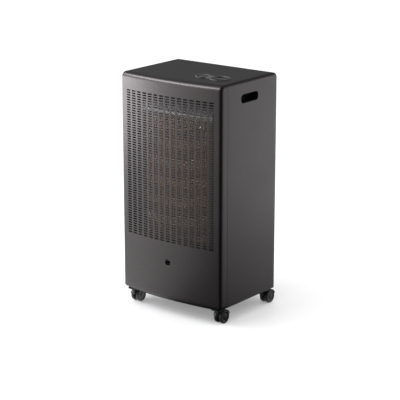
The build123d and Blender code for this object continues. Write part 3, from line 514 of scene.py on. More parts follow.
# Painted shade: knob and button turn near black below their top faces, in the knob's grip grooves and round
# the button's edges.
KNOB_PLASTIC = surface(
    "knob_plastic", (0.05, 0.047, 0.046), (0.065, 0.061, 0.06), (0.34, 0.42), 0.00002, fine=1500.0,
    tint=grey(0.003), zone=(0.741, 0.0148, 0.0012))
GRIP_PLASTIC = surface("grip_plastic", grey(0.003), grey(0.005), (0.7, 0.8), 0.00003, fine=1200.0)
VALVE_BRASS = surface(
    "valve_brass", (0.58, 0.42, 0.18), (0.72, 0.55, 0.28), (0.26, 0.38), 0.00001, metallic=1.0,
    stretch=(900.0, 40.0, 900.0))
VALVE_ALLOY = surface(
    "valve_alloy", (0.42, 0.42, 0.43), (0.56, 0.56, 0.57), (0.42, 0.55), 0.00006, fine=700.0, slow=40.0,
    metallic=1.0)
BRIGHT_STEEL = surface(
    "bright_steel", grey(0.55), grey(0.7), (0.16, 0.28), 0.00001, metallic=1.0,
    stretch=(900.0, 900.0, 30.0))
IGNITER_PLASTIC = surface("igniter_plastic", grey(0.014), grey(0.02), (0.4, 0.5), 0.00002, fine=1400.0)
CERAMIC = surface(
    "electrode_ceramic", (0.62, 0.6, 0.55), (0.74, 0.72, 0.67), (0.12, 0.2), 0.00002, fine=900.0, slow=90.0)
COPPER = surface(
    "pipe_copper", (0.5, 0.23, 0.13), (0.68, 0.36, 0.23), (0.22, 0.4), 0.00001, fine=500.0, slow=45.0,
    metallic=1.0)
CASTER_ZINC = surface(
    "caster_zinc", (0.030, 0.030, 0.031), (0.055, 0.055, 0.057), (0.34, 0.46), 0.00001, fine=900.0,
    slow=80.0, metallic=0.6)
CASTER_PLASTIC = surface("caster_plastic", grey(0.010), grey(0.016), (0.34, 0.42), 0.00002, fine=1300.0)
WHEEL_PLASTIC = surface("wheel_plastic", grey(0.016), grey(0.024), (0.3, 0.38), 0.00002, fine=1300.0)


# ---------------- cabinet form
def bow_line(x):
    """y of the front over x: a circle arc that stands BOW out of its chord."""
    return BOW_CENTRE - np.sqrt(BOW_RADIUS**2 - x**2)


def edge_inset(x):
    """How far the section is drawn in at x: nothing, then a quarter circle of EDGE up to the side."""
    reach = np.clip((np.abs(x) - (HALF - EDGE)) / EDGE, 0, 1)
    return EDGE * (1 - np.sqrt(1 - reach**2))


def seam_y(z):
    """y of the seam at height z: upright, then a circle arc forward to the top."""
    rise = np.clip(z - (TOP - SEAM_SWEEP), 0, None)
    return SEAM_BACK - SEAM_ROUND + np.sqrt(SEAM_ROUND**2 - rise**2)


EDGE_TURN = np.radians(np.linspace(0, 90, 9))
EDGE_LINES = HALF - EDGE + EDGE * np.sin(EDGE_TURN)      # x stations round the right edge
ROLL_TURN = np.radians(np.linspace(0, 90, 13))


def with_edges(inner):
    """x stations across the cabinet: the left edge's round, the inner ones and the right edge's."""
    return np.concatenate([-EDGE_LINES[::-1], inner, EDGE_LINES])


def section_rows(*runs):
    """Stacks rows of (weight of the bow, back of its line, height, inward y, inward z) into columns."""
    return [np.concatenate([np.broadcast_to(run[k], np.shape(run[2])) for run in runs])[:, None]
            for k in range(5)]


def front_point(x, rows):
    """Front section carried across x: it follows the bow, drawn in by the edge round."""
    weight, back, height, in_y, in_z = rows
    inset = edge_inset(x)
    seam = seam_y(TOP - inset) - SEAM_HALF_GAP
    y = (1 - weight) * seam + weight * (bow_line(x) + back) + inset * in_y
    return x, y, height + inset * in_z


def slotted_field(columns, rows, pitch_x, pitch_z, middle_z, length, height):
    """Cells of a field of slots about x = 0: each a ring between its border and a round-ended slot.

    The border's points lie at the same offsets in every cell, so that neighbours share them. Gives
    the points' x and z, their faces, and the stations of the borders' points across and up.
    """
    across = (np.arange(columns) - (columns - 1) / 2) * pitch_x
    up = (np.arange(rows) - (rows - 1) / 2) * pitch_z + middle_z
    centres_x, centres_z = (grid.reshape(-1, 1, 1) for grid in np.meshgrid(across, up))
    round_end, third = height / 2, (length - height) / 6
    straight = third * np.array([-3, -1, 1, 3])
    turn = np.radians([45, 0, -45])
    ends_x, ends_z = 3 * third + round_end * np.cos(turn), round_end * np.sin(turn)
    slot_x = np.concatenate([straight, ends_x, straight[::-1], -ends_x[::-1]])
    slot_z = np.concatenate([np.full(4, round_end), ends_z, np.full(4, -round_end), ends_z[::-1]])
    side = np.full(3, pitch_x / 2)
    level = pitch_z / 2 * np.array([1, 0, -1])
    border_x = np.concatenate([straight, side, straight[::-1], -side])
    border_z = np.concatenate([np.full(4, pitch_z / 2), level, np.full(4, -pitch_z / 2), level[::-1]])
    u = np.stack([border_x, slot_x])[None] + centres_x
    v = np.stack([border_z, slot_z])[None] + centres_z
    cells = np.arange(len(centres_x))[:, None, None] * u[0].size
    faces = (loop_faces(2, len(slot_x))[None] + cells).reshape(-1, 4)
    lines_x, lines_z = (np.unique(np.round(border, 9)) for border in (border_x, border_z))
    return u.reshape(-1), v.reshape(-1), faces, across[:, None] + lines_x, up[:, None] + lines_z


def merged_lines(*groups):
    """Sorted stations without near doubles."""
    values = np.sort(np.concatenate([np.ravel(g) for g in groups]))
    return values[np.concatenate([[True], np.diff(values) > TINY])]


def between(lines, span):
    """The lines from the first to the last of a span."""
    return lines[(lines > span[0] - TINY) & (lines < span[-1] + TINY)]


def within(lines, span):
    """Mask of the grid cells between neighbouring lines that lie inside a span."""
    middle = (lines[1:] + lines[:-1]) / 2
    return (middle > np.min(span)) & (middle < np.max(span))


def front_panel():
    """Bowed front cover with its rolls, side returns, slotted field and sight hole, as one sheet."""
    u, v, faces, lines_x, lines_z = slotted_field(
        SLOT_COLUMNS, SLOT_ROWS, SLOT_PITCH_X, SLOT_PITCH_Z, FIELD_MIDDLE, SLOT_LENGTH, SLOT_HEIGHT)
    field = (np.stack([u, bow_line(u), v], axis=-1), faces)
    field_half = SLOT_COLUMNS * SLOT_PITCH_X / 2
    field_top = FIELD_MIDDLE + SLOT_ROWS * SLOT_PITCH_Z / 2
    field_foot = FIELD_MIDDLE - SLOT_ROWS * SLOT_PITCH_Z / 2
    inner_x = merged_lines(lines_x, steps(-HALF + EDGE, 3, -field_half), steps(field_half, 3, HALF - EDGE))
    inner_x = inner_x[np.abs(inner_x) < HALF - EDGE - TINY]
    x = with_edges(inner_x)[None, :]
    sight_edge = SLOT_PITCH_X / 2 + (SLOT_PITCH_X - SLOT_LENGTH + SLOT_HEIGHT) / 2
    block_x = inner_x[np.abs(inner_x) < sight_edge + TINY]
    block_z = SIGHT_HEIGHT + block_x
    levels = np.concatenate([
        steps(TOP - TOP_ROLL, 4, field_top)[:-1], merged_lines(lines_z)[::-1][:-1],
        steps(field_foot, 4, block_z[-1])[:-1], block_z[::-1][:-1],
        steps(block_z[0], 8, UNDERSIDE + FOOT_ROLL)])
    rows = section_rows(
        (np.array([0, 0.5]), TOP_ROLL, np.full(2, TOP), 0, -1),
        (1, TOP_ROLL * (1 - np.sin(ROLL_TURN)), TOP - TOP_ROLL * (1 - np.cos(ROLL_TURN)),
         np.sin(ROLL_TURN), -np.cos(ROLL_TURN)),
        (1, 0, levels[1:-1], 1, 0),
        (1, FOOT_ROLL * (1 - np.cos(ROLL_TURN)), UNDERSIDE + FOOT_ROLL * (1 - np.sin(ROLL_TURN)),
         np.cos(ROLL_TURN), np.sin(ROLL_TURN)))
    line_x, line_z = x.ravel(), rows[2].ravel()
    in_field = np.outer(within(line_z, (field_foot, field_top)), within(line_x, (-field_half, field_half)))
    in_block = np.outer(within(line_z, block_z), within(line_x, block_x))
    skin = grid_patch(*front_point(x, rows), keep=~(in_field | in_block))
    sides = [patch for side in (-1, 1) for patch in (side_return(side, rows), foot_strip(side))]
    return [field, skin, *sight_hole(block_x, block_z), *sides]


def sight_hole(block_x, block_z):
    """Ring of the bow round the sight hole, then the hole's edge turned inwards on a small round."""
    turn = np.radians(np.linspace(0, 90, 6))
    mouth = arc((0, SIGHT_HEIGHT), SIGHT_RADIUS + SIGHT_LIP, 0, 360, 121)[:-1]
    patch, edge = ring_patch(
        frame_loop(block_x, block_z), mouth, 3, lambda u, v: (u, bow_line(u), v))
    angle = np.arctan2(edge[:, 1] - SIGHT_HEIGHT, edge[:, 0])[None, :]
    radius = np.append(SIGHT_RADIUS + SIGHT_LIP * (1 - np.sin(turn)), SIGHT_RADIUS)[:, None]
    depth = np.append(SIGHT_LIP * (1 - np.cos(turn)), SIGHT_DEPTH)[:, None]
    u, v = radius * np.cos(angle), SIGHT_HEIGHT + radius * np.sin(angle)
    return patch, loop_patch(u, bow_line(u) + depth, v)


def side_return(side, rows):
    """Flat side of the front cover, ruled from the front's outline back to the seam."""
    x, y, z = np.broadcast_arrays(*front_point(np.array([[side * HALF]]), rows))
    upper = int(np.sum(rows[2] > TOP - TOP_ROLL - TINY))
    seam_z = z.copy()
    seam_z[:upper, 0] = np.linspace(TOP - EDGE, TOP - TOP_ROLL, upper)
    share = np.linspace(0, 1, 4)[None, :]
    seam = seam_y(seam_z) - SEAM_HALF_GAP
    return grid_patch(x, y * (1 - share) + seam * share, z * (1 - share) + seam_z * share)


def foot_strip(side):
    """Rolled lower edge of a side return, from the front's corner back to the seam."""
    x = side * EDGE_LINES[None, :]
    share = np.linspace(0, 1, 4)[:, None]
    start = bow_line(x) + FOOT_ROLL
    y = start * (1 - share) + (SEAM_BACK - SEAM_HALF_GAP) * share
    return grid_patch(x, y, UNDERSIDE + edge_inset(x))


make_piece("front_cover_sheet", front_panel(), CABINET_PAINT, stands_for=("front_cover",), wall=SHEET,
           sharp=40)


# ---------------- cabinet shell
REAR_ROLL_Y = REAR - TOP_ROLL
UPRIGHT_FROM = -132 * MM             # the stations are upright behind this line


def bezel_loop(growth, count):
    """Outline of the control bezel grown by growth: two rounds joined by a waist with soft corners.

    Each round has count points above and below the middle line, each soft corner a third of that.
    """
    knob_r, button_r, soft = KNOB_ROUND + growth, BUTTON_ROUND + growth, WAIST_SOFT - growth
    lift = WAIST + growth + soft
    knob_run = math.sqrt((knob_r + soft)**2 - lift**2)
    button_run = math.sqrt((button_r + soft)**2 - lift**2)
    knob_angle = math.degrees(math.atan2(lift, -knob_run))
    button_angle = math.degrees(math.atan2(lift, button_run))
    upper = np.vstack([
        arc((KNOB_X, 0), knob_r, 0, knob_angle, count),
        arc((KNOB_X - knob_run, lift), soft, knob_angle - 180, -90, count // 3),
        arc((BUTTON_X + button_run, lift), soft, -90, button_angle - 180, count // 3),
        arc((BUTTON_X, 0), button_r, button_angle, 180, count)])
    lower = upper[::-1][1:-1] * [1, -1]
    return np.vstack([upper, lower]) + [0, CONTROL_Y]


def cabinet_sheet():
    """Top, sides, rear returns and rail as one sheet, with hand holes, hook slots and a bezel cut-out."""
    seat_x = steps(SEAT_X[0], 24, SEAT_X[1])
    hook_edges = np.array([-1, 1])[:, None] * (HOOK_X + np.array([-1, 1]) * (HOOK_WIDTH / 2 + FIT))
    inner_x = merged_lines(steps(-HALF + RETURN, 12, seat_x[0]), seat_x,
                           steps(seat_x[-1], 2, HALF - RETURN), hook_edges,
                           [-HALF + RETURN / 2, HALF - RETURN / 2])
    x = with_edges(inner_x)
    seat_y = CONTROL_Y + steps(-SEAT_DEPTH, 14, SEAT_DEPTH)
    top_y = np.concatenate([[UPRIGHT_FROM], seat_y[:-1], steps(seat_y[-1], 8, REAR_ROLL_Y)])
    ahead = np.linspace(0, 1, 3)[:-1]
    inset = edge_inset(x)[None, :]
    seam = seam_y(TOP - edge_inset(x))[None, :] + SEAM_HALF_GAP
    lead_y = seam * (1 - ahead[:, None]) + top_y[0] * ahead[:, None]
    flat_y = np.broadcast_to(top_y[:, None], (len(top_y), len(x)))
    roll = ROLL_TURN[1:, None]
    roll_y = REAR_ROLL_Y + (TOP_ROLL - inset) * np.sin(roll)
    roll_z = TOP - TOP_ROLL + (TOP_ROLL - inset) * np.cos(roll)
    rail_levels = merged_lines([TOP - RAIL], HOOK_SLOT, [TOP - TOP_ROLL])[::-1]
    rail_z = np.broadcast_to(rail_levels[1:, None], (len(rail_levels) - 1, len(x)))
    y = np.vstack([lead_y, flat_y, roll_y, np.broadcast_to(REAR - inset, rail_z.shape)])
    z = np.vstack([np.broadcast_to(TOP - inset, (len(ahead) + len(top_y), len(x))), roll_z, rail_z])
    line_y = y[:, len(x) // 2]
    on_top = np.arange(len(line_y) - 1) < len(ahead) + len(top_y) - 1
    seat = np.outer(within(line_y, seat_y) & on_top, within(x, seat_x))
    line_z = z[:, len(x) // 2]
    slots = np.outer(within(line_z, HOOK_SLOT), within(x, hook_edges[0]) | within(x, hook_edges[1]))
    roof = grid_patch(x[None, :], y, z, keep=~(seat | slots))
    seat_lines = between(x, seat_x)
    collar, _ = ring_patch(frame_loop(seat_lines, seat_y), bezel_loop(FIT, 24), 3,
                           lambda u, v: (u, v, np.full_like(u, TOP)))
    sides = [patch for side in (-1, 1) for patch in side_panel(side, top_y)]
    return [roof, collar, *sides]


def side_panel(side, top_y):
    """One flat side with its hand hole, then the rear edge's round, the rear return and the hem."""
    hand_y = HAND_Y + steps(-HAND_BLOCK[0], 12, HAND_BLOCK[0])
    hand_z = HAND_Z + steps(-HAND_BLOCK[1], 8, HAND_BLOCK[1])
    levels = merged_lines(steps(UNDERSIDE, 12, TOP - RAIL), [TOP - TOP_ROLL], hand_z, HOOK_SLOT)
    roll_rows = TOP - TOP_ROLL + (TOP_ROLL - EDGE) * np.cos(ROLL_TURN[::-1])
    roll_reach = REAR_ROLL_Y + (TOP_ROLL - EDGE) * np.sin(ROLL_TURN[::-1])
    rows_z = np.concatenate([levels[:-1], roll_rows])[:, None]
    reach = np.concatenate([np.full(len(levels) - 1, REAR - EDGE), roll_reach])[:, None]
    upright = merged_lines(top_y, hand_y)
    ahead = np.linspace(0, 1, 3)[None, :-1]
    lead = (seam_y(rows_z) + SEAM_HALF_GAP) * (1 - ahead) + upright[0] * ahead
    y = np.hstack([lead, np.broadcast_to(upright[None, :-1], (len(rows_z), len(upright) - 1)),
                   np.full((len(rows_z), 1), REAR_ROLL_Y), reach])
    line_y, line_z = y[0], rows_z.ravel()
    hole = np.outer(within(line_z, hand_z), within(line_y, hand_y))
    panel = grid_patch(side * HALF, y, rows_z, keep=~hole)
    opening = rounded_loop(HAND_LENGTH, HAND_HEIGHT, HAND_ROUND, 10) + [HAND_Y, HAND_Z]
    mouth, _ = ring_patch(frame_loop(between(line_y, hand_y), between(line_z, hand_z)), opening, 3,
                          lambda u, v: (np.full_like(u, side * HALF), u, v))
    return_x = side * np.concatenate([[HALF - RETURN, HALF - RETURN / 2], EDGE_LINES])[None, :]
    rear = grid_patch(return_x, REAR - edge_inset(return_x),
                      levels[levels < TOP - RAIL + TINY][:, None])
    hem_y = np.append(line_y[line_y < REAR - EDGE - TINY], REAR - EDGE)[:, None]
    hem = grid_patch(side * np.array([[HALF, HALF - HEM]]), hem_y, UNDERSIDE)
    return panel, mouth, rear, hem


make_piece("cabinet_sheet", cabinet_sheet(), CABINET_PAINT, stands_for=("cabinet_shell",), wall=SHEET,
           sharp=40)

LAP_GAP = 1.9 * MM
LAP_FOOT = 12 * MM
LAP_SHIFTS = (-3.5, 0, 4, 9)         # mm behind the seam


def seam_lap():
    """Strip joggled inwards behind the seam: the seam's path drawn in, carried a little each way."""
    rise = np.concatenate([steps(UNDERSIDE + LAP_FOOT, 6, TOP - SEAM_SWEEP)[:-1],
                           steps(TOP - SEAM_SWEEP, 8, TOP - EDGE)])
    turn_x = EDGE_LINES[::-1][1:]
    half_x = np.concatenate([np.full(len(rise), HALF - LAP_GAP), turn_x - LAP_GAP, [0]])
    half_z = np.concatenate([rise, TOP - edge_inset(turn_x), [TOP]])
    path_x = np.concatenate([half_x, -half_x[::-1][1:]])[None, :]
    path_z = np.concatenate([half_z, half_z[::-1][1:]])[None, :]
    drop = np.where(path_z > TOP - EDGE + TINY, LAP_GAP, 0)
    shift = np.array(LAP_SHIFTS)[:, None] * MM
    return [grid_patch(path_x, seam_y(path_z) + shift, path_z - drop)]


make_piece("seam_lap_strip", seam_lap(), CABINET_PAINT, wall=0.8 * MM)


# ---------------- rear cover
VENT_COLUMNS = 3
VENT_ROWS = 5
VENT_PITCH_X = 66 * MM
VENT_PITCH_Z = 14 * MM
VENT_LENGTH = 52 * MM
VENT_HEIGHT = 5 * MM
VENT_END = 134 * MM                  # middle of a group of vents from the cover's end
CAP_RUN = 62 * MM
CAP_DROP = 26 * MM
CAP_START = 34 * MM                  # closer stations start this far below the slope
HATCH_FLAT = REAR + 1.3 * MM
HATCH_TOP = HINGE_Z - 4 * MM
SLOPE_SOFT = 7 * MM
FLAT_SOFT = 3 * MM
CALM_X = 150 * MM                    # the sheet is flat beyond this, and above HATCH_TOP - CALM_TOP
CALM_TOP = 14 * MM
CALM_RUN = 8 * MM
FOOT_LINES = (128 * MM, 156 * MM)    # the bulge's foot lies between these, with closer stations
HOOK_LINE = [(0, -5), (0, -0.2), (-0.6, 0.9), (-4, 1), (-6.6, 1)]     # mm from flat and hinge
HOOK_TIP = (1.6, 6)                  # mm above the hinge


def soft_corner(first, second, softness, side):
    """The higher (side 1) or lower (side -1) of two heights, with a soft corner between them.

    It is half their sum plus or minus half the root of the squared difference and squared softness.
    """
    return (first + second + side * np.sqrt((first - second)**2 + softness**2)) / 2


def hatch_y(x, z):
    """Rear cover's skin: a flat sheet out of which a part cylinder rises, its top cut by a slope.

    The lower of cylinder and slope is taken, then the higher of that and the flat, both with a
    soft corner. Near the sides and the top it goes over to the flat.
    """
    barrel = BOTTLE_Y + np.sqrt(np.clip(BULGE_RADIUS**2 - x**2, 0, None))
    slope = REAR + (hatch_high.y - REAR) * (HATCH_TOP - CAP_DROP - z) / CAP_RUN
    raised = soft_corner(soft_corner(barrel, slope, SLOPE_SOFT, -1), HATCH_FLAT, FLAT_SOFT, 1)
    calm = np.clip((np.abs(x) - CALM_X) / CALM_RUN, 0, 1)
    calm = calm + np.clip((z - HATCH_TOP + CALM_TOP) / CALM_RUN, 0, 1)
    return raised + (HATCH_FLAT - raised) * np.clip(calm, 0, 1)


def hatch():
    """Rear cover with two fields of vents."""
    half = hatch_high.x
    middle = (hatch_low.z + HATCH_TOP) / 2
    offset = (HATCH_TOP - hatch_low.z) / 2 - VENT_END
    patches, vent_rows = [], []
    for group in (-1, 1):
        u, v, faces, lines_x, lines_z = slotted_field(
            VENT_COLUMNS, VENT_ROWS, VENT_PITCH_X, VENT_PITCH_Z, middle + group * offset,
            VENT_LENGTH, VENT_HEIGHT)
        patches.append((np.stack([u, hatch_y(u, v), v], axis=-1), faces))
        vent_rows.append(lines_z)
    (foot, low_end), (high_start, head) = ((rows.min(), rows.max()) for rows in vent_rows)
    field_half = VENT_COLUMNS * VENT_PITCH_X / 2
    outer = steps(field_half, 6, FOOT_LINES[0], 22, FOOT_LINES[1], 6, half)
    x = merged_lines(lines_x, outer, -outer)
    z = merged_lines(*vent_rows, steps(hatch_low.z, 10, foot), steps(low_end, 24, high_start),
                     steps(head, 6, HATCH_TOP - CAP_RUN - CAP_START, 40, HATCH_TOP))
    vents = np.outer(within(z, vent_rows[0]) | within(z, vent_rows[1]), within(x, (-field_half, field_half)))
    skin = grid_patch(x[None, :], hatch_y(x[None, :], z[:, None]), z[:, None], keep=~vents)
    return [*patches, skin]


def hatch_hooks():
    """Tongues that pass through the rail's slots and turn up behind it, each one bent line."""
    line = np.array(HOOK_LINE) * MM + [HATCH_FLAT, HINGE_Z]
    tip = [(hatch_low.y, HINGE_Z + height * MM) for height in HOOK_TIP]
    y, z = np.vstack([line, tip]).T[:, :, None]
    across = np.array([[-HOOK_WIDTH / 2, HOOK_WIDTH / 2]])
    return [grid_patch(across + side * HOOK_X, y, z) for side in (-1, 1)]


make_piece("rear_cover_sheet", hatch(), CABINET_PAINT, body="rear_cover", stands_for=("rear_cover",),
           wall=1.0 * MM, sharp=40)
make_piece("rear_cover_hooks", hatch_hooks(), CABINET_PAINT, body="rear_cover", wall=0.8 * MM)


# ---------------- base tray
tray_low, tray_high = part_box("base_tray")
TRAY_WALL = tray_high.z - tray_low.z
TRAY_INSET = 9 * MM
TRAY_LIP = 10.5 * MM                 # height of the wall where the rear is open
TRAY_BEND = 4 * MM
TRAY_POINTS = 900
TRAY_SMOOTHING = np.arange(-4, 5)    # points to each side that are averaged
OPEN_FROM = REAR - 16 * MM
OPEN_RUN = (4 * MM, 3 * MM)          # the wall drops over these lengths, along and across
TONGUE = tray_high.y - BOTTLE_Y
STAND_RADIUS = 118 * MM
STAND_RISE = 1.5 * MM
STAND_PROFILE = [                    # radius and share of the rise
    (STAND_RADIUS + 3 * MM, 0), (STAND_RADIUS + 1 * MM, 0.1), (STAND_RADIUS, 0.7),
    (STAND_RADIUS - 2 * MM, 1), (STAND_RADIUS / 2, 1), (0, 1)]


def tray_outline():
    """Plan of the tray: bowed front, straight sides and a round tongue, its corners softened.

    The raw outline is sampled evenly and averaged over a short moving window.
    """
    half, rear = HALF - TRAY_INSET, REAR - TRAY_INSET
    front_x = np.linspace(-half, half, 60)
    front = np.stack([front_x, BOW_CENTRE - np.sqrt((BOW_RADIUS - TRAY_INSET)**2 - front_x**2)], axis=-1)
    start = math.degrees(math.asin((rear - BOTTLE_Y) / TONGUE))
    tongue = arc((0, BOTTLE_Y), TONGUE, start, 180 - start, 120)
    raw = np.vstack([front, [[half, rear]], tongue, [[-half, rear]]])
    even = along_loop(raw, np.arange(TRAY_POINTS) / TRAY_POINTS)
    return np.mean([np.roll(even, k, axis=0) for k in TRAY_SMOOTHING], axis=0)


def tray():
    """Base tray: wall, bend and floor on one outline, then the raised round for the bottle's foot."""
    line = tray_outline()
    tangent = np.roll(line, -1, axis=0) - np.roll(line, 1, axis=0)
    inward = np.stack([-tangent[:, 1], tangent[:, 0]], axis=-1)
    inward /= np.linalg.norm(inward, axis=1, keepdims=True)
    open_rear = np.clip((line[:, 1] - OPEN_FROM) / OPEN_RUN[0], 0, 1)
    open_rear *= np.clip((HALF - RETURN - np.abs(line[:, 0])) / OPEN_RUN[1], 0, 1)
    wall = TRAY_WALL + (TRAY_LIP - TRAY_WALL) * open_rear
    bend = np.radians(np.linspace(0, 90, 6))
    inset = np.concatenate([[0, 0], TRAY_BEND * (1 - np.cos(bend))])[:, None]
    rise = np.concatenate([[1, 0.5], np.zeros(len(bend))])[:, None]
    height = np.concatenate([[0, 0], TRAY_BEND * (1 - np.sin(bend))])[:, None]
    x, y = np.moveaxis(line + inset[:, :, None] * inward, -1, 0)
    rim = loop_patch(x, y, tray_low.z + height + rise * wall[None, :])
    angle = np.arctan2(y[-1] - BOTTLE_Y, x[-1])
    rings, lift = np.array(STAND_PROFILE).T[:, :, None]
    floor_x = np.vstack([x[-1:], rings * np.cos(angle)])
    floor_y = np.vstack([y[-1:], BOTTLE_Y + rings * np.sin(angle)])
    floor_z = tray_low.z + np.vstack([[[0]], lift * STAND_RISE])
    return [rim, loop_patch(floor_x, floor_y, floor_z)]


make_piece("base_tray_pan", tray(), TRAY_PAINT, stands_for=("base_tray",), wall=1.5 * MM, sharp=40)


# ---------------- burner
mesh_low, mesh_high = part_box("guard_mesh")
pad_low, pad_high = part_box("catalytic_pad")
WIRE = 0.55 * MM
WIRE_PITCH = 9 * MM
CLIP_PLACES = [                      # x and z in metres, slant in degrees
    (-0.105, 0.575, 50), (0.095, 0.608, -40), (0.114, 0.592, 65), (-0.108, 0.300, -55),
    (0.104, 0.296, 40)]
CLIP_HALF = 8 * MM
CLIP_RISE = 3 * MM
CLIP_SINK = 0.4 * MM
CLIP_WIDTH = 2.8 * MM
PAD_EDGE = 6 * MM                    # how fast the pad's face swells from its edge
PAD_SINK = 2.4 * MM
PAD_SWELL = 1.6 * MM
PAD_RIPPLE = 0.6 * MM
PAD_WAVES = ((210, 3, 60), (190, 2, 75))     # radians per metre across and up, their sway and its rate


def woven_wires():
    """Guard of woven wire: each wire a tube round a line that waves over and under its neighbours."""
    patches = []
    middle_y = (mesh_low.y + mesh_high.y) / 2
    swing = (mesh_high.y - mesh_low.y) / 2 - WIRE
    span = {"x": (mesh_low.x + WIRE, mesh_high.x - WIRE), "z": (mesh_low.z + WIRE, mesh_high.z - WIRE)}
    turn = np.linspace(0, 2 * math.pi, 5, endpoint=False)[:, None]
    for run, across in (("x", "z"), ("z", "x")):
        count = round((span[across][1] - span[across][0]) / WIRE_PITCH)
        parts = round((span[run][1] - span[run][0]) / WIRE_PITCH)
        line = np.linspace(*span[run], 2 * parts + 1)
        for number, place in enumerate(np.linspace(*span[across], count + 1)):
            side = (-1) ** number * (1 if run == "x" else -1)
            wave = side * swing * np.cos(np.arange(len(line)) * math.pi / 2)
            off = (place + WIRE * np.cos(turn)).T
            depth = middle_y + wave[:, None] + WIRE * np.sin(turn).T
            x, z = (line[:, None], off) if run == "x" else (off, line[:, None])
            patches.append(loop_patch(x, depth, z))
    return patches


def guard_clips():
    """Bright staples on the guard: each a strip along a half-round arch, laid aslant on the wires."""
    patches = []
    turn = np.linspace(0, math.pi, 13)[:, None]
    width = np.array([[-0.5, 0.5]]) * CLIP_WIDTH
    for x, z, slant in CLIP_PLACES:
        along, lean = CLIP_HALF * np.cos(turn), math.radians(slant)
        u = x + along * math.cos(lean) - width * math.sin(lean)
        v = z + along * math.sin(lean) + width * math.cos(lean)
        patches.append(grid_patch(u, mesh_low.y + CLIP_SINK - CLIP_RISE * np.sin(turn), v))
    return patches


def fibre_pad():
    """Catalytic pad: a slab whose face swells from its edges and ripples by two crossed waves."""
    x, z = np.meshgrid(np.linspace(pad_low.x, pad_high.x, 90), np.linspace(pad_low.z, pad_high.z, 120))
    edge = np.minimum(np.minimum(x - pad_low.x, pad_high.x - x), np.minimum(z - pad_low.z, pad_high.z - z))
    swell = 1 - np.exp(-edge / PAD_EDGE)
    (rate_x, sway_x, by_z), (rate_z, sway_z, by_x) = PAD_WAVES
    ripple = np.sin(x * rate_x + sway_x * np.sin(z * by_z)) * np.sin(z * rate_z + sway_z * np.sin(x * by_x))
    face = pad_low.y + PAD_SINK - swell * (PAD_SWELL + PAD_RIPPLE * ripple)
    back = np.full_like(face, pad_high.y)
    rim = loop_patch(grid_border(x), np.stack([grid_border(face), grid_border(back)]), grid_border(z))
    return [grid_patch(x, face, z), grid_patch(x, back, z), rim]


make_piece("guard_wires", woven_wires(), MESH_WIRE, stands_for=("guard_mesh",), sharp=80)
make_piece("guard_clip_staples", guard_clips(), BRIGHT_STEEL, wall=0.6 * MM)
make_piece("catalytic_fibre_pad", fibre_pad(), PAD_FIBRE, stands_for=("catalytic_pad",), sharp=60)


# ---------------- caster wheels
WHEEL_INNER = 5.0                    # mm from the caster's middle to the wheel's inner face
WHEEL_PROFILE = [                    # mm from the caster's middle along the axle, and radius
    (12.55, 0.0), (12.55, 2.56), (WHEEL_INNER, 2.56), (WHEEL_INNER, 17.5), (5.3, 19.4), (6.2, 20.6),
    (7.4, 20.95), (10.0, 21.0), (12.6, 20.95), (13.8, 20.6), (14.7, 19.6), (15.0, 18.4), (15.0, 16.8),
    (14.7, 16.2), (13.9, 15.9), (13.5, 15.2), (13.3, 9.2), (13.45, 8.4), (14.0, 7.9), (14.4, 7.2),
    (14.7, 4.0), (14.8, 0.0)]
WHEEL_PARTS = 72
CORNERS = ("front_left", "front_right", "rear_left", "rear_right")


def caster_wheel(corner, hand):
    """Wheel of a caster: its profile carried round the axle, rim and hub cap on the outer face."""
    node = f"{corner}_wheel_{hand}"
    low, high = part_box(node)
    side = 1 if hand == "right" else -1
    inner_x = low.x if side > 0 else high.x
    centre = (inner_x - side * WHEEL_INNER * MM, (low.y + high.y) / 2, (low.z + high.z) / 2)
    profile = [(side * along, radius) for along, radius in WHEEL_PROFILE]
    make_piece(f"{corner}_tyre_{hand}", [turned(profile, centre, WHEEL_PARTS)], WHEEL_PLASTIC,
               body=node, stands_for=(node,), sharp=38)


for corner in CORNERS:
    for hand in ("left", "right"):
        caster_wheel(corner, hand)


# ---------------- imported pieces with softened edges
SOFTENED = [                         # material, softness in mm, nodes
    (CASTER_PLASTIC, 0.5, [f"{corner}_housing" for corner in CORNERS]),
    (CASTER_ZINC, 0.15, ["caster_plates"] + [f"{corner}_axle" for corner in CORNERS]),
    (BEZEL_PLASTIC, 0.45, ["control_bezel"]),
    (KNOB_PLASTIC, 0.6, ["control_knob", "igniter_button"]),
    (GRIP_PLASTIC, 0.4, ["hand_grip_left", "hand_grip_right"]),
    (SHIELD_ZINC, 0.15, ["heat_shield"]),
    (DEFLECTOR_ZINC, 0.15, ["heat_deflector"]),
    (ZINC, 0.15, ["burner_pan", "gas_diffuser", "burner_bracket_lower", "burner_bracket_upper",
                  "valve_bracket", "pilot_bracket"]),
    (FRAME_STEEL, 0.3, ["burner_frame"]),
    (VALVE_BRASS, 0.25, ["burner_injector", "hose_nozzle", "pilot_burner"]),
    (VALVE_ALLOY, 0.6, ["gas_valve"]),
    (BRIGHT_STEEL, 0.2, ["valve_spindle", "valve_push_rod", "thermocouple"]),
    (IGNITER_PLASTIC, 0.3, ["piezo_igniter"]),
    (CERAMIC, 0.3, ["spark_electrode"]),
    (COPPER, 0.0, ["burner_pipe", "pilot_pipe"]),
]
for material, softness, nodes in SOFTENED:
    for node in nodes:
        finished_copy(node, material, softness * MM)


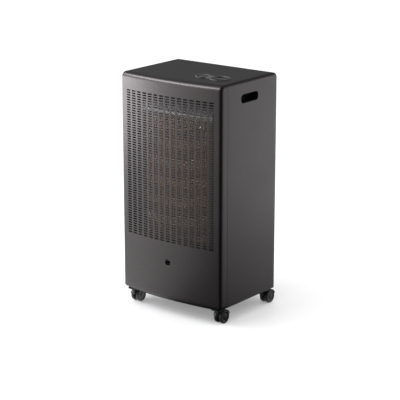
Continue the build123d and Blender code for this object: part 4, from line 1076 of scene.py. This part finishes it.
# ---------------- floor, light and camera
# Brightness of the surround over the azimuth in degrees, counted from the front towards +X
AZIMUTH_LEVELS = [
    (-180, 0.35), (-150, 0.27), (-120, 0.5), (-100, 1.0), (-75, 1.3), (-57, 1.35), (-42, 1.25),
    (-26, 0.95), (-16, 0.75), (-6, 0.12), (8, 0.05), (72, 0.04), (92, 0.22), (112, 0.3),
    (140, 0.5), (165, 0.55), (180, 0.35)]
AZIMUTH_FULL = 4.0                   # the level that the curve's full height stands for
HORIZON = (0.05, 0.5, 1.0, 0.45)     # the surround's share falls from 1 to 0.45 over these sines
WORLD_FILL = 0.7
FLOOR_TONE = 0.45
FLOOR_LIFT = 0.83
FLOOR_ROUGHNESS = 0.14
FLOOR_REACH = 30.0
SHADE_LEFT = 0.2
SHADE_REACH = 0.6
DIM_CENTRE = (-0.5, -0.6, 0.0)       # the mirrored floor is dimmer round this place
DIM_REACH = (0.3, 2.3, 0.6, 1.0)     # its share rises from 0.6 to 1 over these distances
LAMP_TINT = (0.95, 0.96, 1.0)
LAMPS = [                            # name, azimuth, elevation, distance, size, watts, place it faces
    ("upper_left", -62, -3, 1.1, (0.6, 0.55), 7.2, (-0.15, -0.17, 0.64)),
    ("key", -36, 44, 1.5, (1.5, 0.4), 22, (0, -0.05, 0.45)),
    ("rear_fill", 150, -8, 1.0, (0.4, 0.8), 1.1, (0.19, 0.05, 0.5))]
# Viewing angle of the picture and the camera's fit to it, in metres, and its lens in millimetres
VIEW_AZIMUTH, VIEW_ELEVATION = 37.90, 15.80
VIEW_DISTANCE = 4.728
VIEW_TARGET = (0, -0.0365, 0.405)
VIEW_SHIFT = (0.002, -0.060)
LENS, SENSOR = 135.0, 36.0


def surround_effect():
    """Brightness of the studio over the azimuth: bright left of the front, dark on the camera's
    side and dim behind. It reads a direction."""
    group, given, out = effect("studio_azimuth", [("Direction", "Vector", (0, 0, 0))], [("Level", "Float")])
    split = add_node(group, "SeparateXYZ", {"Vector": given["Direction"]}).outputs
    turn = calculated(group, "ARCTAN2", split["X"], calculated(group, "MULTIPLY", split["Y"], -1.0))
    share = ranged(group, turn, -math.pi, math.pi, 0.0, 1.0)
    levels = add_node(group, "FloatCurve", {"Value": share})
    curve = levels.mapping.curves[0]
    places = [((azimuth + 180) / 360, level / AZIMUTH_FULL) for azimuth, level in AZIMUTH_LEVELS]
    for place in places[1:-1]:
        curve.points.new(*place)
    for end in (0, -1):
        curve.points[end].location = places[end]
    levels.mapping.update()
    feed(group, out, {"Level": calculated(group, "MULTIPLY", levels.outputs["Value"], AZIMUTH_FULL)})
    return group


SURROUND = surround_effect()


def ray_level(tree, level, seen):
    """Level for glossy rays, plus what the rays that show the background itself see, and the rays."""
    rays = add_node(tree, "LightPath").outputs
    direct = calculated(tree, "MAXIMUM", rays["Is Camera Ray"], rays["Is Transmission Ray"])
    shown = calculated(tree, "MULTIPLY", direct, seen)
    return calculated(tree, "MULTIPLY_ADD", level, rays["Is Glossy Ray"], shown), rays


def studio_floor():
    """Pale floor: lit as a surface, and lifted to white for the rays that show it wherever the
    object doesn't shade it, so that its contact shadow stays."""
    material, tree, shader = new_material("pale_floor")
    place = add_node(tree, "TexCoord").outputs["Object"]
    azimuth = add_node(tree, "Group", {"Direction": place}, node_tree=SURROUND).outputs["Level"]
    away = add_node(tree, "VectorMath", {0: place, 1: DIM_CENTRE}, operation="DISTANCE").outputs["Value"]
    reach = ranged(tree, away, *DIM_REACH, interpolation_type="SMOOTHSTEP")
    level = calculated(tree, "MULTIPLY", azimuth, reach)
    shade = add_node(tree, "AmbientOcclusion", {"Distance": SHADE_REACH}, samples=8).outputs["AO"]
    lift = calculated(tree, "MULTIPLY_ADD", shade, FLOOR_LIFT - SHADE_LEFT, SHADE_LEFT)
    strength, rays = ray_level(tree, level, lift)
    # Painted shade: for glossy rays the floor's colour is scaled down with the surround's level, so that the
    # object mirrors a dimmer floor where that level is low.
    loss = calculated(tree, "SUBTRACT", 1.0, level, clamp=True)
    flagged = calculated(tree, "MULTIPLY", loss, rays["Is Glossy Ray"])
    tone = calculated(tree, "MULTIPLY_ADD", flagged, -FLOOR_TONE, FLOOR_TONE)
    feed(tree, shader, {"Base Color": tone, "Roughness": FLOOR_ROUGHNESS, "Specular IOR Level": 0.3,
                        "Emission Color": WHITE, "Emission Strength": strength})
    mesh = bpy.data.meshes.new("studio_floor")
    mesh.from_pydata([(-FLOOR_REACH, -FLOOR_REACH, 0), (FLOOR_REACH, -FLOOR_REACH, 0),
                      (FLOOR_REACH, FLOOR_REACH, 0), (-FLOOR_REACH, FLOOR_REACH, 0)], [], [(0, 1, 2, 3)])
    mesh.materials.append(material)
    floor = placed("studio_floor", mesh)


def studio_world():
    """Surround above the floor: its level goes by the azimuth and falls off overhead."""
    world = bpy.data.worlds.new("studio")
    world.use_nodes = True
    tree = world.node_tree
    place = add_node(tree, "TexCoord").outputs["Generated"]
    azimuth = add_node(tree, "Group", {"Direction": place}, node_tree=SURROUND).outputs["Level"]
    height = add_node(tree, "SeparateXYZ", {"Vector": place}).outputs["Z"]
    share = ranged(tree, height, *HORIZON, interpolation_type="SMOOTHSTEP")
    strength, rays = ray_level(tree, calculated(tree, "MULTIPLY", azimuth, share), 1.0)
    fill = calculated(tree, "MULTIPLY_ADD", rays["Is Diffuse Ray"], WORLD_FILL, strength)
    feed(tree, tree.nodes["Background"].inputs, {"Color": WHITE, "Strength": fill})
    bpy.context.scene.world = world


def direction(azimuth, elevation):
    """Unit vector from the object at an azimuth, from the front towards +X, and an elevation."""
    a, e = math.radians(azimuth), math.radians(elevation)
    return Vector((math.sin(a) * math.cos(e), -math.cos(a) * math.cos(e), math.sin(e)))


def softbox(name, azimuth, elevation, distance, size, watts, aim):
    """Area lamp that stands in that direction from its aim and faces it."""
    towards = direction(azimuth, elevation)
    data = bpy.data.lights.new(name, "AREA")
    data.shape = "RECTANGLE"
    data.size, data.size_y = size
    data.energy = watts
    data.color = LAMP_TINT
    lamp = placed(name, data)
    lamp.location = Vector(aim) + towards * distance
    lamp.rotation_mode = "QUATERNION"
    lamp.rotation_quaternion = towards.to_track_quat("Z", "Y")


def photo_camera():
    """Camera at the picture's viewing angle, shifted across and up to fit its frame."""
    back = direction(VIEW_AZIMUTH, VIEW_ELEVATION)
    right = direction(VIEW_AZIMUTH + 90, 0)
    up = back.cross(right)
    data = bpy.data.cameras.new("camera")
    data.lens, data.sensor_width = LENS, SENSOR
    camera = placed("camera", data)
    place = Vector(VIEW_TARGET) + back * VIEW_DISTANCE + right * VIEW_SHIFT[0] + up * VIEW_SHIFT[1]
    camera.matrix_world = Matrix.Translation(place) @ Matrix((right, up, back)).transposed().to_4x4()
    bpy.context.scene.camera = camera


studio_floor()
studio_world()
for lamp in LAMPS:
    softbox(*lamp)
photo_camera()
bpy.context.scene.view_settings.view_transform = "Standard"
bpy.context.scene.cycles.denoising_input_passes = "RGB"
